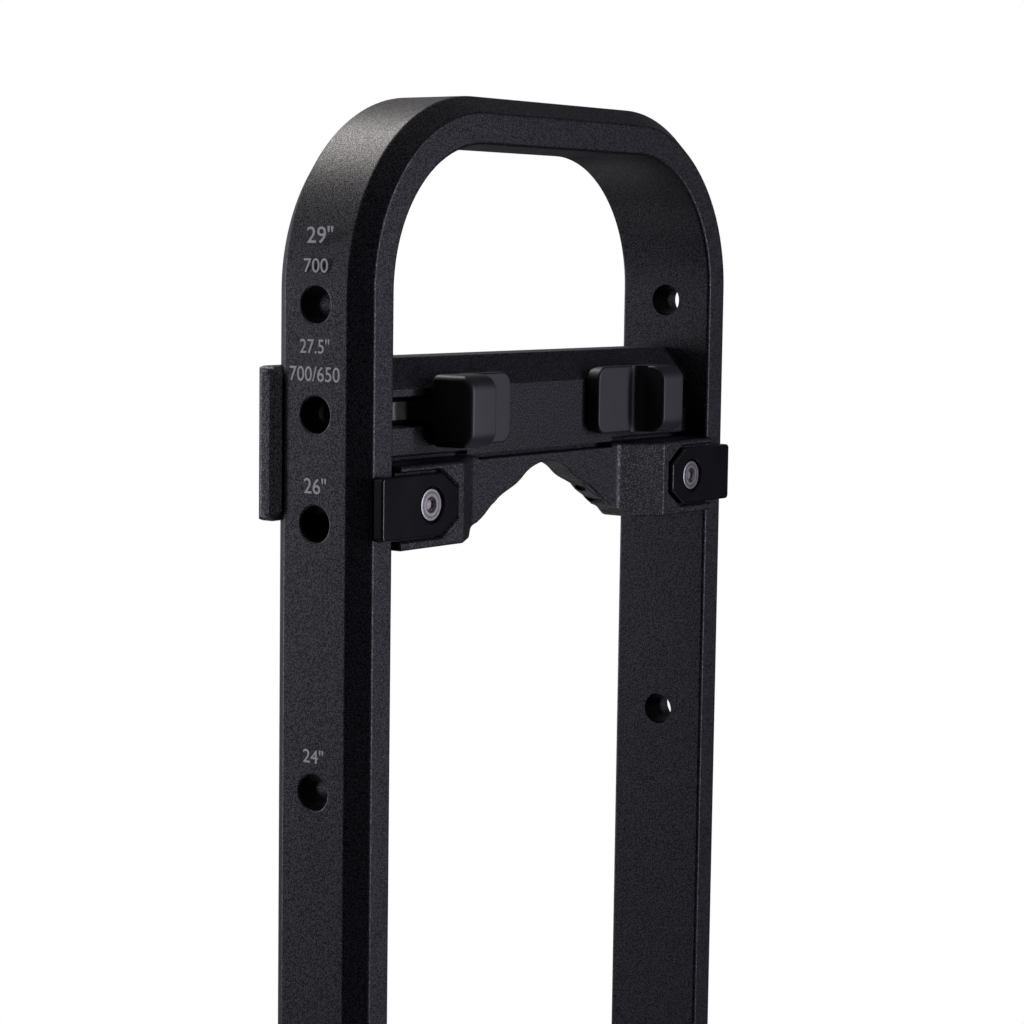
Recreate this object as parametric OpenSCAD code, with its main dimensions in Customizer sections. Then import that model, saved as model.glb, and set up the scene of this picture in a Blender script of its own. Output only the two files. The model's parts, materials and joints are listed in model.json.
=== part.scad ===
// Hitch bike rack for one bicycle, with a wheel hoop and a tire cradle that slides in it.
// The origin is the centre of the hitch pin hole. +X points to the car, +Y along the bicycle, +Z up.

/* [Hitch] */
// Outer width of the square stinger tube
stinger_w = 50.8; // [50.2:0.1:51.4]
// Wall of the stinger tube
stinger_wall = 5; // [4:0.1:6]
// Length of the stinger ahead of the hitch pin
stinger_front = 95; // [70:1:130]
// Length of the stinger behind the hitch pin
stinger_back = 165; // [150:1:185]
// Diameter of the hitch pin hole
hitch_pin_d = 16.3; // [12.5:0.1:17]
// Angle of the sloping cut between stinger and wedge
wedge_angle = 60; // [50:1:70]
// Length of the wedge ahead of its sloping cut
wedge_nose = 12; // [10:1:20]
// Diameter of the anti-rattle rod
rod_d = 8; // [6:0.1:8.4]
// Free space between hitch pin and anti-rattle rod
rod_space = 1.5; // [0.5:0.1:1.8]
// Diameter of the anti-rattle knob
knob_d = 42; // [34:1:46]
// Thickness of the anti-rattle knob
knob_t = 24; // [18:1:26]
// Rise of the wedge that its slot allows
wedge_rise = 5.2; // [4:0.1:5.5]

/* [Tilt] */
// Distance from the hitch pin back to the tilt pivot
tilt_back = 190; // [188:1:200]
// Height of the tilt pivot above the hitch pin
tilt_up = 80; // [78:1:92]
// Thickness of the bracket plates
plate_t = 8; // [6:0.5:10]
// Distance from the tilt pivot to the lock pin
lock_r = 46; // [44:1:50]
// Diameter of the tilt pivot bolt
pivot_d = 12; // [10:1:14]
// Diameter of the tilt lock pin
lock_d = 12; // [10:0.5:13]
// Angle of the lowered position
tilt_down = 35; // [20:1:38]
// Travel of the tilt lock pin
lock_travel = 14; // [12:1:15]
// Width of the spine tube
spine_w = 38; // [34:1:40]
// Height of the spine tube
spine_h = 50; // [44:1:56]
// Wall of the spine tube
spine_wall = 3.5; // [2.5:0.1:5]

/* [Beam] */
// Distance from the hitch pin back to the tray beam
beam_back = 400; // [385:1:460]
// Width of the tray beam
beam_w = 60; // [54:1:70]
// Height of the tray beam
beam_h = 40; // [36:1:50]
// Wall of the tray beam
beam_wall = 3; // [2:0.1:5]
// Length of the beam beyond the front wheel's centre
beam_front = 90; // [80:1:120]
// Beam length from the centre line to its rear end
beam_rear = 730; // [720:1:800]
// Thickness of the saddle plate between spine and beam
saddle_t = 6; // [5:0.5:8]
// Thickness of the steel hoop bracket
bracket_t = 6; // [5:0.5:8]

/* [Trays] */
// Width of the trays over their top edges
tray_w = 100; // [90:1:116]
// Width of the tray floor
tray_floor_w = 52; // [46:1:60]
// Height of the trays
tray_h = 24; // [18:1:26]
// Wall of the trays
tray_t = 3; // [2:0.1:4]
// Length of the front tray
front_tray_len = 340; // [280:1:380]
// Length of the rear tray
rear_tray_len = 300; // [260:1:320]
// Distance from the centre line to the rear wheel's centre
rear_y = 560; // [550:1:580]
// Distance from the rear wheel's centre to its strap
strap_y = 95; // [70:1:100]
// Width of the wheel strap
strap_w = 25; // [20:1:30]
// Thickness of the wheel strap
strap_t = 3; // [2:0.1:4]
// Height of the straight sides of the strap
strap_side = 72; // [64:1:100]

/* [Hoop] */
// Distance from the centre line to the front wheel's centre
hoop_back = 560; // [540:1:620]
// Outer width of the wheel hoop
hoop_w = 241; // [236:1:270]
// Thickness of the hoop tube across the wheel
leg_t = 17.5; // [15:0.5:20]
// Depth of the hoop tube along the bicycle
leg_d = 42.3; // [40:0.1:46]
// Wall of the hoop tube
leg_wall = 3; // [2:0.1:3.6]
// Outer radius of the hoop's bends
bend_r = 70; // [60:1:74]
// Width of the outer corner chamfers
chamfer_w = 6.2; // [4:0.1:8]
// Depth of the outer corner chamfers
chamfer_d = 7; // [5:0.1:9]
// Bevel of the tube's inner edges
inner_bevel = 1; // [0.5:0.1:1.5]
// Height of the hoop above its top pin hole
hoop_rise = 74.8; // [74:0.1:90]
// Diameter of the pin holes
hole_d = 12.7; // [12.5:0.1:14]
// Distance between the pin holes for 29, 27.5 and 26 inch wheels
hole_pitch = 38.1; // [34:0.1:42]
// Distance from the top hole to the hole for 24 inch wheels
hole_low = 171.2; // [160:0.1:180]
// Diameter of the hoop's pivot bolts
hoop_bolt_d = 10; // [8:1:12]
// Height of the hoop's pivot above the tray floor
hoop_pivot_up = 25; // [24:1:40]
// Diameter of the hoop's lock knob
hoop_knob_d = 52; // [40:1:60]

/* [Wheel] */
// Diameter of the largest wheel with its tire
wheel_d = 740; // [720:1:770]
// Distance from the lock pins down to the top of the tire
tire_seat = 28; // [24:1:32]

/* [Cradle] */
// Running gap between moving pieces
slide_gap = 0.3; // [0.3:0.05:0.45]
// Depth of the cradle's crossbar
bar_d = 23; // [22:0.5:26]
// Height of the crossbar above the lock pins
bar_up = 19.1; // [17:0.1:22]
// Height of the crossbar below the lock pins
bar_down = 15.9; // [15:0.1:16.4]
// Height of the sloping top of the crossbar
bar_slope_h = 11; // [8:0.1:12]
// Depth of the sloping top of the crossbar
bar_slope_d = 7.5; // [5:0.1:9]
// Height of the groove under the crossbar
groove_h = 3; // [2:0.1:4]
// Depth of the groove under the crossbar
groove_d = 2.5; // [1:0.1:4]
// Depth of the lower part of the cradle
saddle_d = 28; // [26:0.5:32]
// Thickness of the web with the tire notch
web_t = 10; // [9:0.5:14]
// Drop from the pin line to the bottom of the bosses behind the web
back_low = 40; // [38.5:0.5:44]
// Width of the bosses beside the legs
boss_w = 36.6; // [34:0.1:40]
// Width of the slanting face beside each boss
boss_slant = 17.9; // [14:0.1:20]
// Distance from the lock pins down to the bosses
boss_top = 17.4; // [17:0.1:18.5]
// Distance from the lock pins down to the bottom of the bosses
boss_bottom = 47.4; // [46:0.1:50]
// Depth of the bosses ahead of the clip plates' seats
boss_lip = 2.85; // [2:0.05:3.5]
// Thickness of the clip plates
clip_t = 3.95; // [3.5:0.05:5]
// Distance from the lock pins down to the clip plates
clip_top = 20.8; // [20:0.1:22]
// Height of the clip plates
clip_h = 22.5; // [20:0.1:24]
// Width of the clip plates on the bosses
clip_in = 30; // [27:0.1:32]
// Overlap of the clip plates on the legs
clip_out = 11.3; // [7:0.1:11.3]
// Distance from the legs to the clip bolts
clip_bolt_in = 17; // [15:0.1:19]
// Diameter of the clip bolts
clip_bolt_d = 6; // [5:0.1:6]
// Head diameter of the clip bolts
clip_head_d = 11.6; // [11:0.1:12]
// Thickness of the back guides
guide_t = 4; // [3:0.1:6]
// Height of the back guides above the lock pins
guide_up = 16.4; // [10:0.1:18]
// Height of the back guides below the lock pins
guide_down = 38.5; // [37:0.1:46]
// Thickness of the guides' lips outside the legs
guide_lip = 2; // [1:0.1:4]
// Thickness of the tire pads
pad_t = 3; // [2.5:0.1:4]
// How far the tire pads stand proud of the notch
pad_proud = 2.2; // [1:0.1:3]
// Width of the tire pads along the bicycle
pad_w = 7.4; // [6:0.2:8]
// Head diameter of the pad screws
pad_head_d = 4.4; // [4:0.1:5]
// Thread diameter of the pad screws
pad_screw_d = 2.6; // [2:0.1:3]

/* [Latches] */
// Diameter of the lock pins
pin_d = 12; // [10:0.1:12]
// Travel of the lock pins
pin_travel = 10.8; // [8:0.1:11.5]
// Length of each lock pin
pin_len = 50.5; // [47:0.1:52]
// Height of the flat on the lock pins
pin_flat_h = 6.4; // [5:0.1:7]
// Height of the slots in the crossbar
slot_h = 10.4; // [9:0.1:11]
// Height of the squeeze tabs
tab_h = 26.2; // [22:0.1:30]
// Distance from the middle to the inner edge of a tab
tab_in = 29; // [26:0.1:32]
// Length of a tab's base
tab_len = 41.5; // [36:0.1:43]
// Thickness of a tab's base
tab_base_t = 5.7; // [4:0.1:7]
// Width of a tab's raised block
tab_block_w = 15; // [11:0.1:17]
// Height of a tab's raised block above its base
tab_block_h = 13; // [9:0.1:16]
// Corner radius of the tabs
tab_r = 4.8; // [3:0.1:6]
// Rounding of the squeeze block at its top and bottom
tab_front_r = 3.6; // [2:0.1:6]
// Radius of the hollow for the fingertip between a tab's base and block
tab_hollow = 2.2; // [1:0.1:8]
// Wire diameter of the latch springs
spring_wire = 1.2; // [0.8:0.1:1.4]
// Number of curls of a latch spring
spring_curls = 9; // [6:1:10]

/* [Hidden] */

// Smoothness of round pieces
round_fn = 48;
// Radial clearance of a shaft in its bore
fit_gap = 0.05;
// Overshoot of a cut past a face
over = 1;

powder_black = "#232325";
plastic_black = "#1b1b1d";
rubber_black = "#141416";
steel = "#b9bcc0";
zinc = "#8f9296";

// Heights of the stack from spine to tray floor
beam_bottom = tilt_up + spine_h / 2 + saddle_t;
beam_top = beam_bottom + beam_h;
bracket_top = beam_top + bracket_t;
tray_floor = bracket_top + tray_t;
hoop_pivot_z = tray_floor + hoop_pivot_up;
hole_top_z = tray_floor + wheel_d + tire_seat;

// The hoop in its own frame: centre of the top hole at the origin
inner_x = hoop_w / 2 - leg_t;
bend_x = hoop_w / 2 - bend_r;
bend_z = hoop_rise - bend_r;
bend_in = bend_r - leg_t;
foot_end = leg_d / 2 + 3;
leg_bottom = hoop_pivot_z - foot_end - hole_top_z;
hole_levels = [0, -hole_pitch, -2 * hole_pitch, -hole_low];
ear_t = bracket_t;
ear_gap = 0.5;
ear_x = inner_x - ear_gap;
hoop_bolt_head = 6;
hoop_nut_t = 9;
knob_stub = 25;

// The anti-rattle rod runs below the hitch pin
rod_z = -(hitch_pin_d / 2 + rod_space + rod_d / 2);
plug_flange = 4;
plug_len = 18;
nut_w = 15;
nut_t = 8;
wedge_x = stinger_front + wedge_nose;
knob_x = -stinger_back - plug_flange - slide_gap;
wedge_slot_z = rod_z - wedge_rise;

// Plates, sleeve and housing of the tilt hinge
plate_x = stinger_w / 2;
index_w = stinger_w - 0.8;
index_t = (index_w - spine_w) / 2;
index_r = lock_r + 14;
index_tail = 110;
index_edge = 4;
plate_reach = 75;
plate_out = plate_x + plate_t;
housing_d = 26;
housing_len = 46;
housing_wall = 4;
cavity_d = 18;
cap_t = 4;
collar_t = 4;
lock_tip = plate_x + 0.6;
collar_y = plate_out + housing_wall + lock_travel + 1;
sleeve_wall = 4;
spine_front = 22;
spine_end = beam_back + beam_w / 2 + 20;
saddle_len = 140;
saddle_bolt_y = 45;
saddle_bolt_x = 18;
bolt_m8 = 8;
head_m8 = 13;
head_m8_t = 5;

// The rear clamp slides on the beam
clamp_gap = 0.3;
clamp_t = 6;
clamp_len = 80;
clamp_bolt_d = 8;
clamp_knob_d = 40;
clamp_knob_t = 20;
strap_r = tray_w / 2 + 0.5;
anchor_h = tray_h - 4;
anchor_w = strap_w + 6;
buckle_t = 9;
buckle_h = 46;
buckle_pin_d = 4;
lever_len = 62;
lever_t = 5;
lever_w = strap_w - 3;

// The cradle in its own frame: lock pin axis at the origin
cradle_x = inner_x - slide_gap;
seat_y = leg_d / 2 + slide_gap;
bar_y = bar_d / 2;
low_y = saddle_d / 2;
web_y = web_t / 2 - low_y;
low_top = bar_down + groove_h;
boss_y = seat_y + boss_lip;
boss_x = inner_x - boss_w;
clip_x = inner_x - clip_in;
clip_z = clip_top + clip_h / 2;
clip_seam = 0.8;
clip_cut = 6.5;
clip_r = 2;
bolt_x = inner_x - clip_bolt_in;
clip_face = seat_y + clip_t;
guide_face = seat_y + guide_t;
m6_nut_w = 10;
m6_nut_t = 5;
pin_r = pin_d / 2;
pin_face = sqrt(pin_r * pin_r - pin_flat_h * pin_flat_h / 4);
pin_in = cradle_x - pin_len;
bore_in = 14;
tab_y = bar_y + slide_gap;
tab_out = tab_in + tab_len;
arm_h = slot_h - 2 * slide_gap;
spring_len = pin_in - bore_in;

// The notch for the tire: half of its outline, from the middle outwards and down
notch = [
    [0, -21.9], [4.4, -22.4], [11.5, -24.1], [17.6, -27.2], [24.2, -30.6],
    [30.4, -33.2], [36.6, -36.3], [42.6, -40.1], [48.6, -43.4], [54, -46], [58.5, -47.4]
];
pad_first = 4;
pad_last = 7;
pad_seat = 0.8;
screw_x = 30.4;
screw_z = -33.2;
screw_slope = 25;

module at_hoop() {
    translate([-beam_back, -hoop_back, hole_top_z]) children();
}

module at_cradle() {
    translate([-beam_back, -hoop_back, hole_top_z - hole_pitch]) children();
}

module at_tilt() {
    translate([-tilt_back, 0, tilt_up]) children();
}

module at_beam() {
    translate([-beam_back, 0, 0]) children();
}

module both_sides() {
    children();
    mirror([1, 0, 0]) children();
}

// A drum along X, from x_a to x_b
module drum_x(d, x_a, x_b, fn = round_fn) {
    translate([x_a, 0, 0]) rotate([0, 90, 0]) cylinder(d = d, h = x_b - x_a, $fn = fn);
}

// A drum along Y, from y_a to y_b
module drum_y(d, y_a, y_b, fn = round_fn) {
    translate([0, y_b, 0]) rotate([90, 0, 0]) cylinder(d = d, h = y_b - y_a, $fn = fn);
}

// A rectangle with round corners, centred
module round_rect(w, h, r) {
    square([w - 2 * r, h], center = true);
    square([w, h - 2 * r], center = true);
    for (x = [-1, 1], y = [-1, 1])
        translate([x * (w / 2 - r), y * (h / 2 - r)]) circle(r = r, $fn = 32);
}

// An outline drawn in X and Z, filled from y_a to y_b
module slab_y(y_a, y_b) {
    translate([0, y_b, 0]) rotate([90, 0, 0]) linear_extrude(y_b - y_a) children();
}

// An outline drawn in Y and Z, filled from x_a to x_b
module slab_x(x_a, x_b) {
    translate([x_a, 0, 0]) rotate([90, 0, 90]) linear_extrude(x_b - x_a) children();
}

// A hollow rectangular tube along X
module tube_x(w, h, wall, x_a, x_b) {
    slab_x(x_a, x_b) difference() {
        round_rect(w, h, 2 * wall * 0.6);
        round_rect(w - 2 * wall, h - 2 * wall, wall * 0.2);
    }
}

// A star shaped grip, outline only, with soft lobes
module star_outline(d, lobes) {
    difference() {
        circle(d = d, $fn = 96);
        for (i = [0 : lobes - 1])
            rotate((i + 0.5) * 360 / lobes) translate([d * 0.6, 0]) circle(d = d * 0.34, $fn = 32);
    }
}

// Ring of points round one place on a helix along Z
function helix_ring(at, radius, pitch, wire, sides, per_curl) =
    let (turn = 360 * at / per_curl)
    let (out = [cos(turn), sin(turn), 0])
    let (rise = pitch / (2 * PI))
    let (len = norm([radius, rise]))
    let (ahead = [-sin(turn) * radius / len, cos(turn) * radius / len, rise / len])
    let (side = cross(ahead, out))
    let (centre = radius * out + [0, 0, pitch * at / per_curl])
    [for (s = [0 : sides - 1]) let (a = 360 * s / sides) centre + wire / 2 * (cos(a) * out + sin(a) * side)];

function helix_centre(at, radius, pitch, per_curl) =
    [radius * cos(360 * at / per_curl), radius * sin(360 * at / per_curl), pitch * at / per_curl];

// Least gap between one curl and the next, measured on the points of the helix
function helix_gap(radius, pitch, wire, curls, per_curl) =
    min([for (i = [0 : curls * per_curl - per_curl], j = [i + per_curl - 1 : i + per_curl])
        norm(helix_centre(i, radius, pitch, per_curl) - helix_centre(j, radius, pitch, per_curl))]) - wire;

// A wound spring along Z from 0 to its length
module wound_spring(length, outer_d, wire, curls) {
    sides = 6;
    per_curl = 8;
    radius = (outer_d - wire) / 2;
    pitch = (length - wire) / curls;
    last = curls * per_curl;
    points = [for (i = [0 : last]) each helix_ring(i, radius, pitch, wire, sides, per_curl)];
    walls = [for (i = [0 : last - 1], s = [0 : sides - 1])
        let (a = i * sides + s, b = i * sides + (s + 1) % sides)
        each [[a, b, b + sides], [a, b + sides, a + sides]]];
    start_cap = [for (s = [1 : sides - 2]) [0, s + 1, s]];
    end_cap = [for (s = [1 : sides - 2]) [last * sides, last * sides + s, last * sides + s + 1]];
    echo(str("least gap between curls: ", helix_gap(radius, pitch, wire, curls, per_curl)));
    translate([0, 0, wire / 2]) polyhedron(points, concat(walls, start_cap, end_cap));
}

// Outline of the hoop tube grown by a margin: X outwards from the inner face, Y along the bicycle
function hoop_outline(grow = 0) =
    let (slant = norm([chamfer_w, chamfer_d]))
    let (face_y = leg_d / 2 + grow)
    let (flat_x = leg_t - chamfer_w + grow * (slant - chamfer_w) / chamfer_d)
    let (side_y = leg_d / 2 - chamfer_d + grow * (slant - chamfer_d) / chamfer_w)
    let (bevel = grow == 0 ? inner_bevel : 0)
    let (half = concat(
        [[leg_t + grow, side_y], [flat_x, face_y]],
        bevel > 0 ? [[bevel, face_y], [0, face_y - bevel]] : [[-grow, face_y]]))
    concat(half, [for (i = [len(half) - 1 : -1 : 0]) [half[i][0], -half[i][1]]]);

module hoop_section() {
    difference() {
        polygon(hoop_outline());
        polygon(hoop_outline(-leg_wall));
    }
}

module stinger_tube() {
    slope = tan(90 - wedge_angle);
    color(powder_black) difference() {
        tube_x(stinger_w, stinger_w, stinger_wall, -stinger_back, stinger_front);
        slab_y(-stinger_w, stinger_w) polygon([
            [stinger_front + over * slope, -stinger_w / 2 - over],
            [stinger_front - (stinger_w + over) * slope, stinger_w / 2 + over],
            [stinger_front + stinger_w, stinger_w / 2 + over],
            [stinger_front + stinger_w, -stinger_w / 2 - over]
        ]);
        drum_y(hitch_pin_d, -stinger_w, stinger_w);
    }
}

module bracket_plates() {
    foot_r = 10;
    foot_z = stinger_w / 2 - foot_r;
    color(powder_black) for (y = [-plate_out, plate_x]) difference() {
        slab_y(y, y + plate_t) hull() {
            translate([-tilt_back, tilt_up]) circle(r = 30, $fn = 32);
            translate([-tilt_back, tilt_up + lock_r]) circle(r = 16, $fn = 32);
            translate([-plate_reach, foot_z]) circle(r = foot_r, $fn = 32);
            translate([-plate_reach, -foot_z]) circle(r = foot_r, $fn = 32);
            translate([foot_r + 5 - stinger_back, -foot_z]) circle(r = foot_r, $fn = 32);
        }
        at_tilt() drum_y(pivot_d + 2 * fit_gap, y - over, y + plate_t + over);
        at_tilt() translate([0, 0, lock_r]) drum_y(lock_d + 2 * fit_gap, y - over, y + plate_t + over);
    }
}

module stinger_end_plug() {
    inside = stinger_w - 2 * stinger_wall - 0.4;
    color(plastic_black) difference() {
        union() {
            slab_x(-stinger_back - plug_flange, -stinger_back) round_rect(stinger_w - 1, stinger_w - 1, 4);
            slab_x(-stinger_back - over, plug_len - stinger_back) round_rect(inside, inside, 2);
        }
        translate([0, 0, rod_z])
            drum_x(rod_d + 2 * fit_gap, -stinger_back - plug_flange - over, plug_len - stinger_back + over);
    }
}

module anti_rattle_rod() {
    color(zinc) translate([0, 0, rod_z]) drum_x(rod_d, knob_x - knob_t + 4, wedge_x + nut_t + 3);
}

module anti_rattle_knob() {
    color(plastic_black) translate([0, 0, rod_z]) difference() {
        union() {
            slab_x(knob_x - knob_t, knob_x - 6) star_outline(knob_d, 6);
            drum_x(knob_d * 0.55, knob_x - 8, knob_x);
        }
        drum_x(rod_d, knob_x - knob_t + 4, knob_x + over);
    }
}

module anti_rattle_nut() {
    color(zinc) translate([0, 0, rod_z]) difference() {
        slab_x(wedge_x + slide_gap, wedge_x + slide_gap + nut_t) round_rect(nut_w, nut_w, 1);
        drum_x(rod_d + 2 * fit_gap, wedge_x - over, wedge_x + nut_t + 2 * over);
    }
}

module anti_rattle_wedge() {
    slope = tan(90 - wedge_angle);
    start = stinger_front + slide_gap / sin(wedge_angle);
    slot_w = rod_d + 2 * slide_gap;
    color(steel) difference() {
        slab_x(stinger_front - stinger_w, wedge_x) round_rect(stinger_w, stinger_w, 6);
        slab_y(-stinger_w, stinger_w) polygon([
            [start + over * slope, -stinger_w / 2 - over],
            [start - (stinger_w + over) * slope, stinger_w / 2 + over],
            [-stinger_front, stinger_w / 2 + over],
            [-stinger_front, -stinger_w / 2 - over]
        ]);
        translate([0, 0, rod_z]) drum_x(slot_w, stinger_front - stinger_w, wedge_x + over);
        translate([0, 0, wedge_slot_z]) drum_x(slot_w, stinger_front - stinger_w, wedge_x + over);
        slab_x(stinger_front - stinger_w, wedge_x + over)
            translate([-slot_w / 2, wedge_slot_z]) square([slot_w, wedge_rise]);
    }
}

module tilt_pivot_bolt() {
    color(zinc) at_tilt() {
        drum_y(pivot_d, -plate_out, plate_out + 14);
        drum_y(19 / cos(30), -plate_out - 7.5, -plate_out, 6);
    }
}

module tilt_pivot_nut() {
    color(zinc) at_tilt() difference() {
        drum_y(19 / cos(30), plate_out, plate_out + 11, 6);
        drum_y(pivot_d, plate_out - over, plate_out + 12);
    }
}

module tilt_lock_housing() {
    color(zinc) at_tilt() translate([0, 0, lock_r]) difference() {
        drum_y(housing_d, plate_out, plate_out + housing_len);
        drum_y(lock_d + 2 * fit_gap, plate_out - over, plate_out + housing_wall + over);
        drum_y(cavity_d, plate_out + housing_wall, plate_out + housing_len + over);
    }
}

module tilt_lock_cap() {
    cap_y = plate_out + housing_len;
    color(zinc) at_tilt() translate([0, 0, lock_r]) difference() {
        union() {
            drum_y(housing_d, cap_y, cap_y + cap_t);
            drum_y(cavity_d, cap_y - 3, cap_y + 1);
        }
        drum_y(lock_d + 2 * fit_gap, cap_y - 4, cap_y + cap_t + over);
    }
}

module tilt_lock_pin() {
    color(steel) at_tilt() translate([0, 0, lock_r]) {
        drum_y(lock_d, lock_tip, plate_out + housing_len + cap_t + lock_travel + 14);
        drum_y(cavity_d - 0.6, collar_y, collar_y + collar_t);
    }
}

module tilt_lock_handle() {
    bar_at = plate_out + housing_len + cap_t + lock_travel + 9;
    color(plastic_black) at_tilt() translate([0, 0, lock_r]) difference() {
        union() {
            translate([0, bar_at, 0]) drum_x(14, -36, 36);
            for (x = [-36, 36]) translate([x, bar_at, 0]) sphere(d = 14, $fn = 32);
            drum_y(20, bar_at - 8, bar_at + 7);
        }
        drum_y(lock_d, bar_at - 9, bar_at + 5);
    }
}

module tilt_lock_spring() {
    spring_start = collar_y + collar_t + 0.2;
    spring_room = plate_out + housing_len - 3 - spring_start - 0.2;
    color(steel) at_tilt() translate([0, spring_start, lock_r]) rotate([-90, 0, 0])
        wound_spring(spring_room, cavity_d - 0.8, 1.6, 5);
}

module spine_tube() {
    color(powder_black) difference() {
        translate([0, 0, tilt_up]) tube_x(spine_w, spine_h, spine_wall, -spine_end, spine_front - tilt_back);
        at_tilt() drum_y(pivot_d + 2 * sleeve_wall, -spine_w, spine_w);
        at_tilt() translate([-lock_r, 0, 0]) drum_y(lock_d + 1, 0, spine_w);
    }
}

module spine_end_cap() {
    color(plastic_black) translate([0, 0, tilt_up]) {
        slab_x(-spine_end - 4, -spine_end) round_rect(spine_w, spine_h, 4);
        slab_x(-spine_end - over, 14 - spine_end)
            round_rect(spine_w - 2 * spine_wall - 0.4, spine_h - 2 * spine_wall - 0.4, 2);
    }
}

module index_plates() {
    edge_a = tilt_down + 15;
    reach = 2 * index_r;
    color(powder_black) at_tilt() for (y = [-index_w / 2, spine_w / 2]) difference() {
        slab_y(y, y + index_t) {
            intersection() {
                circle(r = index_r, $fn = 128);
                polygon([
                    [0, 0], [reach * sin(edge_a), reach * cos(edge_a)], [reach, reach],
                    [-reach, reach], [-reach, -reach * sin(15)]
                ]);
            }
            circle(d = spine_h - 2, $fn = 96);
            translate([-index_tail, index_edge - spine_h / 2]) square([index_tail, spine_h - 2 * index_edge]);
        }
        drum_y(pivot_d + 2 * sleeve_wall, y - over, y + index_t + over);
        for (turn = [-tilt_down, 0, 90])
            translate([-lock_r * sin(turn), 0, lock_r * cos(turn)])
                drum_y(lock_d + 1, y - over, y + index_t + over);
    }
}

module spine_sleeve() {
    color(zinc) at_tilt() difference() {
        drum_y(pivot_d + 2 * sleeve_wall, -index_w / 2, index_w / 2);
        drum_y(pivot_d + 2 * fit_gap, -plate_out, plate_out);
    }
}

module saddle_bolt_places() {
    for (x = [-saddle_bolt_x, saddle_bolt_x], y = [-saddle_bolt_y, saddle_bolt_y])
        translate([x - beam_back, y, 0]) children();
}

module beam_saddle() {
    color(powder_black) difference() {
        translate([-beam_back, 0, beam_bottom - saddle_t]) linear_extrude(saddle_t)
            round_rect(beam_w + 30, saddle_len, 8);
        saddle_bolt_places() translate([0, 0, beam_bottom - saddle_t - over])
            cylinder(d = bolt_m8, h = saddle_t + 2 * over, $fn = round_fn);
    }
}

module saddle_bolts() {
    color(zinc) saddle_bolt_places() {
        translate([0, 0, beam_bottom - saddle_t])
            cylinder(d = bolt_m8, h = saddle_t + beam_wall + 12, $fn = round_fn);
        difference() {
            translate([0, 0, beam_bottom - saddle_t - head_m8_t])
                cylinder(d = head_m8 / cos(30), h = head_m8_t, $fn = 6);
            translate([0, 0, beam_bottom - saddle_t - head_m8_t - over])
                cylinder(d = 5, h = 2, $fn = round_fn);
        }
    }
}

module bracket_bolt_places() {
    for (x = [-saddle_bolt_x, saddle_bolt_x], y = [-28, 28])
        translate([x - beam_back, y - hoop_back, 0]) children();
}

module tray_beam() {
    beam_mid = beam_bottom + beam_h / 2;
    color(powder_black) difference() {
        translate([-beam_back, beam_rear, beam_mid]) rotate([90, 0, 0])
            linear_extrude(beam_rear + hoop_back + beam_front) difference() {
                round_rect(beam_w, beam_h, 4);
                round_rect(beam_w - 2 * beam_wall, beam_h - 2 * beam_wall, 1.5);
            }
        saddle_bolt_places() translate([0, 0, beam_bottom - over])
            cylinder(d = bolt_m8, h = beam_wall + 2 * over, $fn = round_fn);
        bracket_bolt_places() translate([0, 0, beam_top - beam_wall - over])
            cylinder(d = bolt_m8, h = beam_wall + 2 * over, $fn = round_fn);
    }
}

module beam_end_caps() {
    beam_mid = beam_bottom + beam_h / 2;
    inside_w = beam_w - 2 * beam_wall - 0.4;
    inside_h = beam_h - 2 * beam_wall - 0.4;
    front_end = -hoop_back - beam_front;
    color(plastic_black) translate([-beam_back, 0, beam_mid]) {
        slab_y(front_end - 4, front_end) round_rect(beam_w, beam_h, 4);
        slab_y(front_end - over, front_end + 18) round_rect(inside_w, inside_h, 1.5);
        slab_y(beam_rear, beam_rear + 4) round_rect(beam_w, beam_h, 4);
        slab_y(beam_rear - 18, beam_rear + over) round_rect(inside_w, inside_h, 1.5);
    }
}

module hoop_bracket() {
    base_d = 76;
    ear_r = 20;
    color(powder_black) difference() {
        union() {
            translate([-beam_back, -hoop_back, beam_top]) linear_extrude(bracket_t)
                square([2 * ear_x, base_d], center = true);
            for (x = [-ear_x, ear_x - ear_t])
                translate([-beam_back, -hoop_back, 0]) slab_x(x, x + ear_t) hull() {
                    translate([0, hoop_pivot_z]) circle(r = ear_r, $fn = 32);
                    translate([-base_d / 2, beam_top]) square([base_d, bracket_t + 2]);
                }
        }
        translate([-beam_back, -hoop_back, hoop_pivot_z]) drum_x(hoop_bolt_d, -hoop_w, hoop_w);
        bracket_bolt_places() translate([0, 0, beam_top - over])
            cylinder(d = bolt_m8, h = bracket_t + 2 * over, $fn = round_fn);
    }
}

module bracket_bolts() {
    color(zinc) bracket_bolt_places() difference() {
        union() {
            translate([0, 0, beam_top - beam_wall - 12])
                cylinder(d = bolt_m8, h = beam_wall + 12 + bracket_t + tray_t, $fn = round_fn);
            translate([0, 0, tray_floor - tray_t])
                cylinder(d1 = bolt_m8, d2 = bolt_m8 + 2 * tray_t, h = tray_t, $fn = round_fn);
        }
        translate([0, 0, tray_floor - 2]) cylinder(d = 5 / cos(30), h = 2 + over, $fn = 6);
    }
}

// Half of the tray's cross section, mirrored to the whole: X across, Z up from the floor's underside
module tray_outline() {
    slope = (tray_w - tray_floor_w) / 2 / tray_h;
    shift = tray_t * (sqrt(1 + slope * slope) - slope);
    top = tray_w / 2;
    polygon([
        [-top, tray_h], [-tray_floor_w / 2, 0], [tray_floor_w / 2, 0], [top, tray_h],
        [top - tray_t * 1.1, tray_h], [tray_floor_w / 2 - shift * 0.4, tray_t],
        [shift * 0.4 - tray_floor_w / 2, tray_t], [tray_t * 1.1 - top, tray_h]
    ]);
}

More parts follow.
